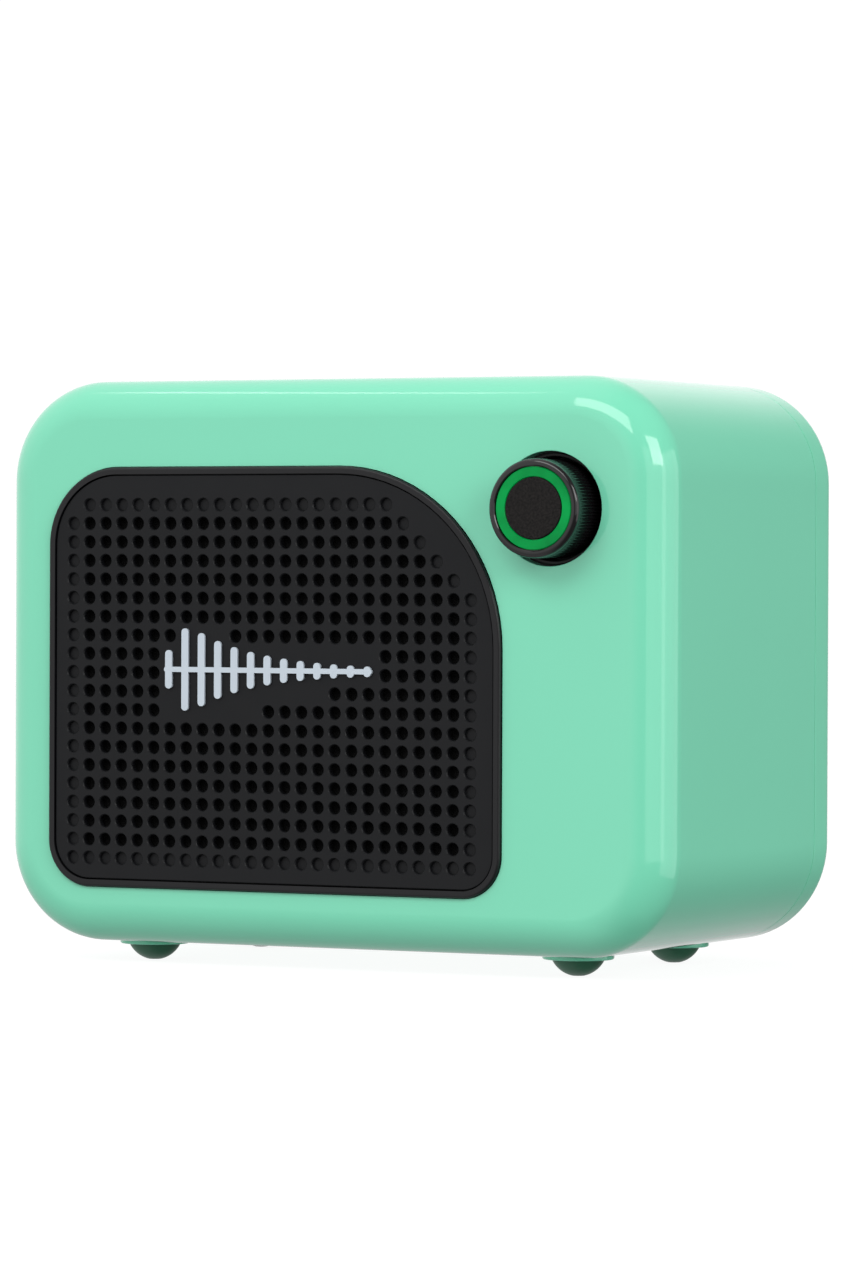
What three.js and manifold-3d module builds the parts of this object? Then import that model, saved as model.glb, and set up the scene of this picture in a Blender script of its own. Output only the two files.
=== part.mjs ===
// Small desktop practice amplifier for an electric guitar: a glossy two-part housing with a perforated
// grille, a 70 mm speaker, a push-and-turn knob, a passive radiator, a battery and rear sockets.
// Millimetres. +X is to the right seen from the front, +Y goes to the back, +Z is up.
// The origin is the middle of the base, on the surface that the feet stand on. The Y dimensions below are
// laid out from the body's own datum, and the last lines bring the whole part to the middle.
import * as THREE from "three";
import { mergeVertices } from "three/addons/utils/BufferGeometryUtils.js";
import Module from "manifold-3d";

const wasm = await Module();
wasm.setup();

// ---------- driving dimensions ----------

const GAP = 0.3; // free space kept between two pieces that meet
const TURN = 36; // sides of a large round piece
const SMALL_TURN = 12; // sides of a small round piece

const BODY = {
  halfWidth: 71.5,
  bottom: 4,
  top: 113,
  front: -36.75,
  back: 42.75,
  corner: 19.5,
  frontFillet: 7.8,
  backFillet: 4,
  wall: 2.6,
  frontWall: 2.8,
  seam: 33.2,
  seamGap: 0.4,
};

// Corner radii run top left, top right, bottom right, bottom left.
const GRILLE = {
  left: -60.1,
  right: 38.05,
  bottom: 14.9,
  top: 96.1,
  corners: [15, 34.5, 8, 9],
  rimFront: -37.6,
  rimWidth: 1.35,
  panelFront: -37.3,
  panelBack: -35.7,
  groove: 0.2,
  baffleFront: -32.9,
  baffleBack: -30.4,
};

const HOLE = { pitch: 3.6, middleX: -11.51 };

const SPEAKER = {
  x: -11.3,
  z: 55,
  flange: 35,
  screwCircle: 37,
  opening: 31.5,
  gap: 8.7, // middle radius of the magnet's air gap
};

const KNOB = {
  x: 47.8,
  z: 88,
  radius: 9.25,
  hole: 10.75,
  front: -43.95,
  back: -32.6,
  shaft: 3,
};

const FOOT = { x: 46.1, front: -20, back: 23.1, radius: 5, boss: 6.85, height: 3.1 };

const POST = { radius: 3.8, inward: 13.5, back: 29, pilot: 1.55 };

const BOARD = { left: 13, right: 57, front: -6, back: 36.4, bottom: 18.4, top: 20 };
const BOARD_SCREWS = [
  [16.5, -3],
  [53.5, -3],
  [16.5, 8.5],
  [53.5, 26],
];

const BAY = { left: 11.5, right: 60, bottom: 19, top: 38, floor: 39.55, thickness: 2.4 };

const JACK = { x: 21, z: BOARD.top + GAP + 7, bore: 3.25, bushing: 4.6 };
const PHONES = { x: 33.7, z: BOARD.top + GAP + 3 };
const USB = { x: 43.2, z: BOARD.top + GAP + 1.65 };
const SWITCH = { x: 53, z: BOARD.top + GAP + 2.4, travel: 3 };

const CELL = { left: -55.5, right: 9.5, y: 18.5, z: 18.8, radius: 9.2 };

const RADIATOR = { x: -14, z: 66, ring: 31, plate: 21 };

const FINISH = {
  shell: { color: "#86ddbd", roughness: 0.16, metalness: 0 },
  grille: { color: "#292b2e", roughness: 0.5, metalness: 0.1 },
  rim: { color: "#242227", roughness: 0.35, metalness: 0 },
  emblem: { color: "#c3ced6", roughness: 0.3, metalness: 0.6 },
  cloth: { color: "#141416", roughness: 0.95, metalness: 0 },
  foot: { color: "#1d3a33", roughness: 0.6, metalness: 0 },
  steel: { color: "#9a9ea3", roughness: 0.4, metalness: 1 },
  blackScrew: { color: "#26272a", roughness: 0.4, metalness: 0.8 },
  basket: { color: "#2b2d30", roughness: 0.5, metalness: 0.7 },
  rubber: { color: "#191a1b", roughness: 0.7, metalness: 0 },
  paper: { color: "#2a2926", roughness: 0.9, metalness: 0 },
  copper: { color: "#b8743e", roughness: 0.4, metalness: 0.9 },
  spider: { color: "#b9893f", roughness: 0.9, metalness: 0 },
  ferrite: { color: "#3b3c3f", roughness: 0.7, metalness: 0.2 },
  knob: { color: "#1b1b1d", roughness: 0.25, metalness: 0 },
  knobDisc: { color: "#292728", roughness: 0.85, metalness: 0 },
  light: { color: "#00a03c", roughness: 0.35, metalness: 0 },
  circuit: { color: "#1f5a3c", roughness: 0.5, metalness: 0 },
  blackPlastic: { color: "#1c1d1f", roughness: 0.5, metalness: 0 },
  chip: { color: "#18191a", roughness: 0.6, metalness: 0 },
  cellWrap: { color: "#3f6fa8", roughness: 0.3, metalness: 0 },
};

// ---------- solids and booleans ----------

// A closed geometry as a manifold-3d solid.
function solid(geometry) {
  const bare = geometry.clone();
  bare.deleteAttribute("normal");
  bare.deleteAttribute("uv");
  const merged = mergeVertices(bare, 1e-4);
  return new wasm.Manifold(
    new wasm.Mesh({
      numProp: 3,
      vertProperties: merged.attributes.position.array,
      triVerts: new Uint32Array(merged.index.array),
    }),
  );
}

// A manifold-3d solid as a geometry with one normal for each face.
function geometryOf(body) {
  const mesh = body.getMesh();
  const indexed = new THREE.BufferGeometry();
  indexed.setAttribute("position", new THREE.BufferAttribute(mesh.vertProperties, 3));
  indexed.setIndex(new THREE.BufferAttribute(mesh.triVerts, 1));
  const flat = indexed.toNonIndexed();
  flat.computeVertexNormals();
  return flat;
}

const join = (...pieces) => geometryOf(pieces.map(solid).reduce((a, b) => a.add(b)));
const common = (a, b) => geometryOf(solid(a).intersect(solid(b)));

function cut(body, ...tools) {
  return geometryOf(tools.map(solid).reduce((a, b) => a.subtract(b), solid(body)));
}

function box(left, right, front, back, bottom, top) {
  const block = new THREE.BoxGeometry(right - left, back - front, top - bottom);
  return block.translate((left + right) / 2, (front + back) / 2, (bottom + top) / 2);
}

// A round bar along Y.
function rod(x, z, radius, front, back, sides = SMALL_TURN) {
  const bar = new THREE.CylinderGeometry(radius, radius, back - front, sides);
  return bar.translate(x, (front + back) / 2, z);
}

// A round bar along Z.
function pillar(x, y, radius, bottom, top, sides = SMALL_TURN) {
  const bar = new THREE.CylinderGeometry(radius, radius, top - bottom, sides);
  return bar.rotateX(Math.PI / 2).translate(x, y, (bottom + top) / 2);
}

// A solid of revolution about Y. Its profile is a list of [radius, y], closed on itself or on the axis.
function turned(profile, sides = TURN) {
  const area = profile.reduce((sum, [r, y], i) => {
    const [nextR, nextY] = profile[(i + 1) % profile.length];
    return sum + r * nextY - nextR * y;
  }, 0);
  const points = profile.map(([r, y]) => new THREE.Vector2(r, y));
  if (area < 0) points.reverse();
  if (points.every((p) => p.x > 0)) points.push(points[0].clone());
  const first = points.findIndex((p, i) => p.x === 0 && points[(i + 1) % points.length].x > 0);
  const ordered = first > 0 ? [...points.slice(first), ...points.slice(0, first)] : points;
  return new THREE.LatheGeometry(ordered, sides);
}

// A rectangle in X and Z with rounded corners: top left, top right, bottom right, bottom left.
function roundedRect(left, right, bottom, top, corners) {
  const [tl, tr, br, bl] = [corners].flat().length === 1 ? Array(4).fill(corners) : corners;
  const quarter = Math.PI / 2;
  const shape = new THREE.Shape();
  shape.absarc(right - br, bottom + br, br, -quarter, 0);
  shape.absarc(right - tr, top - tr, tr, 0, quarter);
  shape.absarc(left + tl, top - tl, tl, quarter, 2 * quarter);
  shape.absarc(left + bl, bottom + bl, bl, 2 * quarter, 3 * quarter);
  shape.closePath();
  return shape;
}

// A flat plate: the shape in X and Z, from front to back along Y.
function slab(shape, front, back, curveSegments = 6) {
  const plate = new THREE.ExtrudeGeometry(shape, {
    depth: back - front,
    bevelEnabled: false,
    curveSegments,
  });
  return plate.rotateX(Math.PI / 2).translate(0, back, 0);
}

// A plate whose front and back edges are rounded with the given fillet.
function pillow(shape, front, back, fillet, bevelSegments = 5) {
  const plate = new THREE.ExtrudeGeometry(shape, {
    depth: back - front - 2 * fillet,
    bevelThickness: fillet,
    bevelSize: fillet,
    bevelOffset: -fillet,
    bevelSegments,
    curveSegments: 6,
  });
  return plate.rotateX(Math.PI / 2).translate(0, back - fillet, 0);
}

// A regular hexagon in X and Z.
function hexagon(x, z, radius) {
  const shape = new THREE.Shape();
  for (let side = 0; side < 6; side++) {
    const angle = (side * Math.PI) / 3;
    const point = [x + radius * Math.cos(angle), z + radius * Math.sin(angle)];
    if (side === 0) shape.moveTo(...point);
    else shape.lineTo(...point);
  }
  shape.closePath();
  return shape;
}

// A sector of a ring in X and Z, between two radii and two angles.
function sector(inner, outer, from, to) {
  const shape = new THREE.Shape();
  shape.absarc(0, 0, outer, from, to);
  shape.absarc(0, 0, inner, to, from, true);
  shape.closePath();
  return shape;
}

// The profile of half a roll with the given wall, bulging towards -Y, from one flat edge to the other.
function roll(middle, y, radius, wall, steps = 6) {
  const arc = (r) =>
    Array.from({ length: steps + 1 }, (_, i) => {
      const angle = Math.PI * (1 - i / steps);
      return [middle + r * Math.cos(angle), y - r * Math.sin(angle)];
    });
  return [...arc(radius), ...arc(radius - wall).reverse()];
}

function piece(group, name, finish, geometry) {
  const mesh = new THREE.Mesh(geometry, new THREE.MeshStandardMaterial(FINISH[finish]));
  mesh.name = name;
  group.add(mesh);
  return mesh;
}

function groupAt(x, y, z) {
  const group = new THREE.Group();
  group.position.set(x, y, z);
  return group;
}

// ---------- housing ----------

const middleZ = (BODY.bottom + BODY.top) / 2;

function bodyOutline(inset = 0) {
  const side = BODY.halfWidth - inset;
  return roundedRect(-side, side, BODY.bottom + inset, BODY.top - inset, BODY.corner - inset);
}

function grilleOutline(inset = 0) {
  const corners = GRILLE.corners.map((radius) => radius - inset);
  return roundedRect(
    GRILLE.left + inset,
    GRILLE.right - inset,
    GRILLE.bottom + inset,
    GRILLE.top - inset,
    corners,
  );
}

// Where the four screws that hold the rear cover stand: inside each rounded corner of the body.
const coverScrewPlaces = [-1, 1].flatMap((sideX) =>
  [-1, 1].map((sideZ) => {
    const arcX = BODY.halfWidth - BODY.corner;
    const arcZ = (BODY.top - BODY.bottom) / 2 - BODY.corner;
    const diagonal = POST.inward * Math.SQRT1_2;
    return [sideX * (arcX + diagonal), middleZ + sideZ * (arcZ + diagonal)];
  }),
);

const footPlaces = [-FOOT.x, FOOT.x].flatMap((x) => [FOOT.front, FOOT.back].map((y) => [x, y]));

const speakerScrewPlaces = [1, 3, 5, 7].map((eighth) => {
  const angle = (eighth * Math.PI) / 4;
  return [SPEAKER.screwCircle * Math.cos(angle), SPEAKER.screwCircle * Math.sin(angle)];
});

function frontShell() {
  const end = BODY.seam - BODY.seamGap / 2;
  const beyond = BODY.back + 30;
  const skin = cut(
    pillow(bodyOutline(), BODY.front, beyond, BODY.frontFillet),
    box(-100, 100, end, 100, -10, 130),
  );
  const cavity = pillow(
    bodyOutline(BODY.wall),
    BODY.front + BODY.frontWall,
    beyond,
    BODY.frontFillet - BODY.wall,
    2,
  );
  const baffle = slab(grilleOutline(-BODY.wall), BODY.front + 1, GRILLE.baffleBack);
  const posts = coverScrewPlaces.map(([x, z]) => rod(x, z, POST.radius, BODY.front + 1, POST.back));
  const standoffs = BOARD_SCREWS.map(([x, y]) =>
    pillar(x, y, 3, BODY.bottom + 1, BOARD.bottom - GAP),
  );
  const rails = [-44, -1].map((x) =>
    box(x - 1, x + 1, CELL.y - 10, CELL.y + 10, BODY.bottom + 1, CELL.z - CELL.radius - 2.1),
  );
  const inside = join(cut(skin, cavity), common(join(baffle, ...posts, ...standoffs, ...rails), skin));
  const bosses = footPlaces.map(([x, y]) => pillar(x, y, FOOT.boss, FOOT.height, BODY.bottom + 1.5));
  const footHoles = footPlaces.flatMap(([x, y]) => [
    pillar(x, y, FOOT.radius + GAP, FOOT.height - 1, FOOT.height + 0.7),
    pillar(x, y, 1.9, FOOT.height - 1, BODY.bottom + BODY.wall + 1),
  ]);
  const pilots = coverScrewPlaces.map(([x, z]) => rod(x, z, POST.pilot, POST.back - 12, 40));
  const boardPilots = BOARD_SCREWS.map(([x, y]) => pillar(x, y, 1.4, 11, 30));
  const speakerPilots = speakerScrewPlaces.map(([x, z]) =>
    rod(SPEAKER.x + x, SPEAKER.z + z, 1.55, GRILLE.baffleFront + 0.7, -20),
  );
  return cut(
    join(inside, ...bosses),
    slab(grilleOutline(-GAP / 2), BODY.front - 5, GRILLE.baffleFront),
    rod(SPEAKER.x, SPEAKER.z, SPEAKER.opening, BODY.front - 5, -20, TURN),
    rod(KNOB.x, KNOB.z, KNOB.hole, BODY.front - 5, -20, TURN),
    ...footHoles,
    ...pilots,
    ...boardPilots,
    ...speakerPilots,
  );
}

// Upright slots over the passive radiator, each as long as the circle allows.
function radiatorSlots() {
  const pitch = 6.2;
  const reach = 25;
  return [-3, -2, -1, 0, 1, 2, 3].map((step) => {
    const x = step * pitch;
    const half = Math.sqrt(reach * reach - x * x);
    const left = RADIATOR.x + x - 1.6;
    const shape = roundedRect(left, left + 3.2, RADIATOR.z - half, RADIATOR.z + half, 1.5);
    return slab(shape, BODY.back - 10, BODY.back + 5, 2);
  });
}

function rearCover() {
  const start = BODY.seam + BODY.seamGap / 2;
  const inner = BODY.back - BODY.wall;
  const tongueStart = start - 3;
  const skin = cut(
    pillow(bodyOutline(), BODY.front, BODY.back, BODY.backFillet, 4),
    box(-100, 100, -100, start, -10, 130),
  );
  const cavity = pillow(bodyOutline(BODY.wall), BODY.front, inner, BODY.backFillet - BODY.wall, 2);
  const tongue = cut(
    join(
      slab(bodyOutline(BODY.wall + GAP), tongueStart, start + 0.4),
      slab(bodyOutline(BODY.wall - GAP), start, start + 2.6),
    ),
    slab(bodyOutline(BODY.wall + GAP + 1.4), tongueStart - 1, start + 4),
  );
  const bosses = coverScrewPlaces.flatMap(([x, z]) => [
    rod(x, z, 3, POST.back + GAP, inner + 1),
    rod(x, z, 4.6, inner - 3, inner + 1),
  ]);
  const collar = cut(
    rod(RADIATOR.x, RADIATOR.z, RADIATOR.ring + 2, inner - 4.6, inner + 1, TURN),
    rod(RADIATOR.x, RADIATOR.z, RADIATOR.ring + GAP, inner - 6, inner, TURN),
  );
  const bayWall = 2.2;
  const bay = slab(
    roundedRect(BAY.left - bayWall, BAY.right + bayWall, BAY.bottom - bayWall, BAY.top + bayWall, 4),
    BAY.floor - BAY.thickness,
    inner + 1,
    4,
  );
  const through = [BAY.floor - 10, BODY.back + 5];
  const sockets = [
    rod(JACK.x, JACK.z, JACK.bushing + GAP, ...through),
    rod(PHONES.x, PHONES.z, 3.2, ...through),
    slab(roundedRect(USB.x - 4.9, USB.x + 4.9, USB.z - 2, USB.z + 2, 1.9), ...through, 4),
    slab(roundedRect(SWITCH.x - 3.4, SWITCH.x + 3.4, SWITCH.z - 1.3, SWITCH.z + 1.3, 0.8), ...through, 2),
  ];
  const screwHoles = coverScrewPlaces.flatMap(([x, z]) => [
    rod(x, z, 1.7, 0, 60),
    rod(x, z, 3.3, inner - 0.9, 60),
  ]);
  return cut(
    join(cut(skin, cavity), tongue, ...bosses, collar, bay),
    slab(roundedRect(BAY.left, BAY.right, BAY.bottom, BAY.top, 2.5), BAY.floor, BODY.back + 5, 4),
    ...sockets,
    ...radiatorSlots(),
    ...screwHoles,
  );
}

// The black rim around the grille, with a ledge that carries the cloth and the panel.
function trimRing() {
  const ledgeFront = GRILLE.panelBack + 0.8;
  const back = GRILLE.baffleFront - GAP;
  return cut(
    pillow(grilleOutline(), GRILLE.rimFront, back + 10, 0.5, 2),
    slab(grilleOutline(GRILLE.rimWidth), GRILLE.rimFront - 1, ledgeFront),
    slab(grilleOutline(GRILLE.rimWidth + 2.2), GRILLE.rimFront - 1, back + 12),
    box(-100, 100, back, 100, -10, 130),
  );
}

// A generic mark: a spine with upright bars that die away to the right, as a plucked string does.
function emblem() {
  const spineZ = 57.2;
  const firstColumn = -6;
  const lastColumn = 6;
  const tallest = 7.4;
  const decay = 14;
  const front = GRILLE.panelFront - 0.5;
  const back = GRILLE.panelFront - 0.05;
  const columnX = (column) => HOLE.middleX + column * HOLE.pitch;
  const bars = [];
  for (let column = firstColumn; column <= lastColumn; column++) {
    const past = columnX(column) - columnX(firstColumn + 1.5);
    const fade = tallest * Math.exp(-Math.max(past, 0) / decay);
    const half = column === firstColumn ? tallest / 2 : fade + 0.5;
    const x = columnX(column);
    bars.push(slab(roundedRect(x - 0.75, x + 0.75, spineZ - half, spineZ + half, 0.7), front, back, 1));
  }
  const ends = [columnX(firstColumn) - 1, columnX(lastColumn) + 1];
  return join(slab(roundedRect(...ends, spineZ - 0.5, spineZ + 0.5, 0.45), front, back, 1), ...bars);
}

// A pan-head screw along +Y: the head's seat is at y = 0 and the shank runs towards -Y.
function screw(headRadius, headHeight, shankRadius, length) {
  const body = turned(
    [
      [0, -length],
      [shankRadius * 0.5, -length],
      [shankRadius, -length + 1],
      [shankRadius, 0],
      [headRadius, 0],
      [headRadius, headHeight * 0.6],
      [headRadius * 0.7, headHeight],
      [0, headHeight],
    ],
    SMALL_TURN,
  );
  const arm = headRadius * 0.6;
  const half = 0.35;
  return cut(body, box(-arm, arm, headHeight * 0.45, headHeight + 1, -half, half));
}

// A soft cap of a ball with a small flat to stand on and a stem that plugs into the shell.
function foot() {
  const flat = 1.2;
  const rim = FOOT.height - 0.1;
  const middle = (FOOT.radius ** 2 + rim ** 2 - flat ** 2) / (2 * rim); // height of the ball's centre
  const ball = Math.hypot(flat, middle);
  const from = Math.asin(flat / ball);
  const to = Math.asin(FOOT.radius / ball);
  const steps = 5;
  const dome = Array.from({ length: steps + 1 }, (_, i) => {
    const angle = from + (i / steps) * (to - from);
    return [ball * Math.sin(angle), Math.max(middle - ball * Math.cos(angle), 0)];
  });
  const top = FOOT.height + 0.4;
  const profile = [[0, 0], ...dome, [FOOT.radius, top], [1.6, top], [1.6, top + 2.6], [0, top + 2.6]];
  return turned(profile, 20).rotateX(Math.PI / 2);
}

function housing() {
  const group = new THREE.Group();
  piece(group, "front_shell", "shell", frontShell());
  piece(group, "rear_cover", "shell", rearCover());
  piece(group, "grille_trim_ring", "rim", trimRing());
  const panelInset = GRILLE.rimWidth + GRILLE.groove;
  const panel = slab(grilleOutline(panelInset), GRILLE.panelFront, GRILLE.panelBack);
  piece(group, "grille_panel", "grille", panel);
  const cloth = slab(grilleOutline(panelInset + 0.3), GRILLE.panelBack + 0.25, GRILLE.panelBack + 0.5);
  piece(group, "dust_cloth", "cloth", cloth);
  piece(group, "grille_emblem", "emblem", emblem());
  coverScrewPlaces.forEach(([x, z], i) => {
    const fastener = piece(group, `rear_cover_screw_${i + 1}`, "blackScrew", screw(2.9, 2.2, 1.3, 21));
    fastener.position.set(x, BODY.back - BODY.wall - 0.9 + GAP, z);
  });
  const footNames = ["front_left", "rear_left", "front_right", "rear_right"];
  footPlaces.forEach(([x, y], i) => {
    piece(group, `foot_${footNames[i]}`, "foot", foot()).position.set(x, y, 0);
  });
  return group;
}

// ---------- speaker ----------

const speakerDepth = {
  flangeFront: -28.4,
  shelf: -16.1,
  rearPlate: -14.4,
  magnetFront: -9.6,
  magnetBack: -1.6,
  yokeBack: 2.2,
};

function basket() {
  const d = speakerDepth;
  const flangeBack = d.flangeFront + 1.2;
  const bowl = turned([
    [31, d.flangeFront],
    [SPEAKER.flange, d.flangeFront],
    [SPEAKER.flange, flangeBack],
    [32.6, flangeBack],
    [20.6, d.rearPlate + 1.2],
    [9.9, d.rearPlate + 1.2],
    [9.9, d.rearPlate],
    [17.4, d.rearPlate],
    [17.4, d.shelf],
    [20.9, d.shelf],
    [31, flangeBack],
  ]);
  const ears = speakerScrewPlaces.map(([x, z]) => rod(x, z, 4, d.flangeFront, flangeBack));
  const earHoles = speakerScrewPlaces.map(([x, z]) => rod(x, z, 1.6, d.flangeFront - 1, flangeBack + 1));
  const windows = [0, 1, 2, 3].map((quarter) => {
    const middle = (quarter * Math.PI) / 2;
    return slab(sector(22, 30, middle - 0.6, middle + 0.6), flangeBack + 1, 0, 12);
  });
  return cut(join(bowl, ...ears), ...earHoles, ...windows);
}

function speaker() {
  const group = groupAt(SPEAKER.x, 0, SPEAKER.z);
  const d = speakerDepth;
  const edge = d.flangeFront - GAP;
  piece(group, "speaker_basket", "basket", basket());
  piece(
    group,
    "speaker_gasket",
    "rubber",
    turned([
      [31.7, edge - 1.4],
      [34.8, edge - 1.4],
      [34.8, edge - 0.7],
      [31.7, edge - 0.7],
    ]),
  );
  const coneEdge = 26;
  const lip = 0.4;
  const bulge = roll(28.6, edge, 2.3, lip);
  piece(
    group,
    "speaker_surround",
    "rubber",
    turned([...bulge.slice(0, 7), [33.8, edge - lip], [33.8, edge], ...bulge.slice(7)]),
  );
  piece(
    group,
    "speaker_cone",
    "paper",
    turned([
      [coneEdge, edge - 0.4],
      [coneEdge, edge + 0.3],
      [17, edge + 5.9],
      [SPEAKER.gap + 0.65, edge + 9.4],
      [SPEAKER.gap + 0.65, edge + 8.7],
      [17, edge + 5.2],
    ]),
  );
  const capRim = edge + 7.6;
  const dome = (radius, height) =>
    [0, 1, 2, 3, 4].map((i) => {
      const angle = (i / 4) * (Math.PI / 2);
      return [radius * Math.sin(angle), capRim - height * Math.cos(angle)];
    });
  piece(group, "speaker_dust_cap", "paper", turned([...dome(10, 3.6), ...dome(9.4, 3.1).reverse()]));
  const coil = [SPEAKER.gap - 0.3, SPEAKER.gap + 0.3];
  piece(
    group,
    "speaker_voice_coil",
    "copper",
    turned([
      [coil[0], edge + 8.3],
      [coil[1], edge + 8.3],
      [coil[1], d.magnetFront + 1.2],
      [coil[0], d.magnetFront + 1.2],
    ]),
  );
  const waves = 6;
  const spiderFace = (offset) =>
    Array.from({ length: waves + 1 }, (_, i) => {
      const radius = SPEAKER.gap + 0.65 + (i / waves) * 9.9;
      return [radius, d.shelf - 0.75 + offset + (i % 2 ? 0.35 : -0.35)];
    });
  piece(group, "speaker_spider", "spider", turned([...spiderFace(0), ...spiderFace(0.35).reverse()], 24));
  piece(
    group,
    "speaker_top_plate",
    "steel",
    turned([
      [SPEAKER.gap + 0.65, d.rearPlate + 1.5],
      [20.5, d.rearPlate + 1.5],
      [20.5, d.magnetFront - GAP],
      [SPEAKER.gap + 0.65, d.magnetFront - GAP],
    ]),
  );
  piece(
    group,
    "speaker_magnet",
    "ferrite",
    turned([
      [11, d.magnetFront],
      [22, d.magnetFront],
      [22, d.magnetBack],
      [11, d.magnetBack],
    ]),
  );
  const yokeFront = d.magnetBack + GAP;
  const vent = 2.5;
  piece(
    group,
    "speaker_yoke",
    "steel",
    turned([
      [vent, d.rearPlate + 1.8],
      [SPEAKER.gap - 0.6, d.rearPlate + 1.8],
      [SPEAKER.gap - 0.6, yokeFront],
      [20.5, yokeFront],
      [20.5, d.yokeBack - 0.8],
      [19.5, d.yokeBack],
      [vent, d.yokeBack],
    ]),
  );
  speakerScrewPlaces.forEach(([x, z], i) => {
    const fastener = piece(group, `speaker_screw_${i + 1}`, "steel", screw(2.7, 1.8, 1.25, 4.9));
    fastener.position.set(x, d.flangeFront + 1.2 + GAP, z);
  });
  return group;
}

// ---------- push-and-turn knob and its encoder ----------

const encoder = { bushingFront: -31.2, front: -24.5, back: -16.5, boreEnd: -19.2, pinEnd: -17.2 };

function knobBody() {
  const face = 7.95;
  const recess = KNOB.front + 1.45;
  const hub = KNOB.shaft + 2.5;
  const boreEnd = recess + 1;
  return turned(
    [
      [0, boreEnd],
      [KNOB.shaft + GAP, boreEnd],
      [KNOB.shaft + GAP, KNOB.back],
      [hub, KNOB.back],
      [hub, recess + 2.3],
      [KNOB.radius - 1.6, recess + 2.3],
      [KNOB.radius - 1.6, KNOB.back],
      [KNOB.radius, KNOB.back],
      [KNOB.radius, KNOB.front + 0.8],
      [KNOB.radius - 0.45, KNOB.front + 0.2],
      [KNOB.radius - 0.9, KNOB.front],
      [face, KNOB.front],
      [face, recess],
      [0, recess],
    ],
    40,
  );
}

function knobAndEncoder() {
  const group = groupAt(KNOB.x, 0, KNOB.z);
  const flangeFront = BODY.front + BODY.frontWall + GAP;
  const collar = KNOB.hole - GAP;
  const wellBack = -27.3;
  piece(
    group,
    "knob_well",
    "blackPlastic",
    turned([
      [KNOB.radius + 0.5, BODY.front + 0.2],
      [collar, BODY.front + 0.2],
      [collar, flangeFront],
      [13, flangeFront],
      [13, flangeFront + 1.2],
      [collar + 0.4, flangeFront + 1.2],
      [collar + 0.4, wellBack],
      [3.9, wellBack],
      [3.9, wellBack - 1.2],
      [KNOB.radius + 0.5, wellBack - 1.2],
    ]),
  );
  piece(group, "knob_body", "knob", knobBody());
  const seat = KNOB.front + 1.45 - GAP;
  piece(
    group,
    "knob_light_ring",
    "light",
    turned([
      [5.95, KNOB.front + 0.3],
      [7.75, KNOB.front + 0.3],
      [7.75, seat],
      [5.95, seat],
    ]),
  );
  piece(group, "knob_centre_disc", "knobDisc", rod(0, 0, 5.75, KNOB.front + 0.2, seat, TURN));
  const shaftEnd = encoder.boreEnd - 1.3;
  piece(group, "encoder_shaft", "steel", rod(0, 0, KNOB.shaft, KNOB.front + 2.75, shaftEnd, TURN));
  piece(
    group,
    "encoder_switch_pin",
    "blackPlastic",
    turned(
      [
        [0, shaftEnd + GAP],
        [2.6, shaftEnd + GAP],
        [2.6, shaftEnd + 0.6],
        [1, shaftEnd + 0.6],
        [1, encoder.pinEnd - 0.8],
        [0, encoder.pinEnd - 0.8],
      ],
      SMALL_TURN,
    ),
  );
  const can = join(
    box(-6.2, 6.2, encoder.front, encoder.back, -6.6, 6.6),
    rod(0, 0, 3.5, encoder.bushingFront, encoder.front + 1, TURN),
  );
  const bored = cut(
    can,
    rod(0, 0, KNOB.shaft + 0.08, encoder.bushingFront - 1, encoder.boreEnd, TURN),
    rod(0, 0, 1.25, encoder.boreEnd - 1, encoder.pinEnd),
  );
  piece(group, "encoder_body", "steel", bored);
  const nutBack = wellBack - 1.2 - GAP;
  const nut = cut(slab(hexagon(0, 0, 5.4), nutBack - 1.5, nutBack), rod(0, 0, 3.8, -40, -20));
  piece(group, "encoder_nut", "steel", nut);
  const boardFront = encoder.back + GAP;
  const board = slab(roundedRect(-11.8, 11.2, -11, 10.5, 1.5), boardFront, boardFront + 1.6, 3);
  piece(group, "encoder_board", "circuit", board);
  return group;
}

// ---------- main board and rear sockets ----------

function inputJack() {
  const blockBack = BAY.floor - BAY.thickness - GAP;
  const block = box(JACK.x - 7.2, JACK.x + 7.2, 12, blockBack, JACK.z - 7, JACK.z + 7);
  return cut(block, rod(JACK.x, JACK.z, JACK.bore, 14, 60));
}

// The threaded sleeve that reaches through the rear cover and takes the nut.
function inputJackBushing() {
  const sleeve = rod(JACK.x, JACK.z, JACK.bushing, BAY.floor - BAY.thickness, BODY.back - 0.6);
  return cut(sleeve, rod(JACK.x, JACK.z, JACK.bore, 14, 60));
}

function headphoneJack() {
  const blockBack = BAY.floor - BAY.thickness - GAP;
  const block = box(PHONES.x - 3.5, PHONES.x + 3.5, 24, blockBack, PHONES.z - 3, PHONES.z + 3);
  const barrel = rod(PHONES.x, PHONES.z, 2.9, blockBack - 1, BAY.floor + 0.2);
  return cut(join(block, barrel), rod(PHONES.x, PHONES.z, 1.8, 25.5, 60));
}

function usbPort() {
  const outline = (inset) =>
    roundedRect(USB.x - 4.5 + inset, USB.x + 4.5 - inset, USB.z - 1.65 + inset, USB.z + 1.65 - inset, 1.2);
  const front = 30.6;
  const back = BAY.floor - 0.2;
  const tube = cut(slab(outline(0), front, back, 4), slab(outline(0.35), front + 0.6, back + 5, 4));
  return join(tube, box(USB.x - 3.2, USB.x + 3.2, front + 0.3, back - 0.8, USB.z - 0.35, USB.z + 0.35));
}

function switchBody() {
  const back = BAY.floor - BAY.thickness - GAP;
  const block = box(SWITCH.x - 4.5, SWITCH.x + 4.5, back - 5.6, back, SWITCH.z - 2.4, SWITCH.z + 2.4);
  const slot = box(SWITCH.x - 3.9, SWITCH.x + 3.9, back - 3.6, back + 5, SWITCH.z - 1.7, SWITCH.z + 1.7);
  return cut(block, slot);
}

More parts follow.
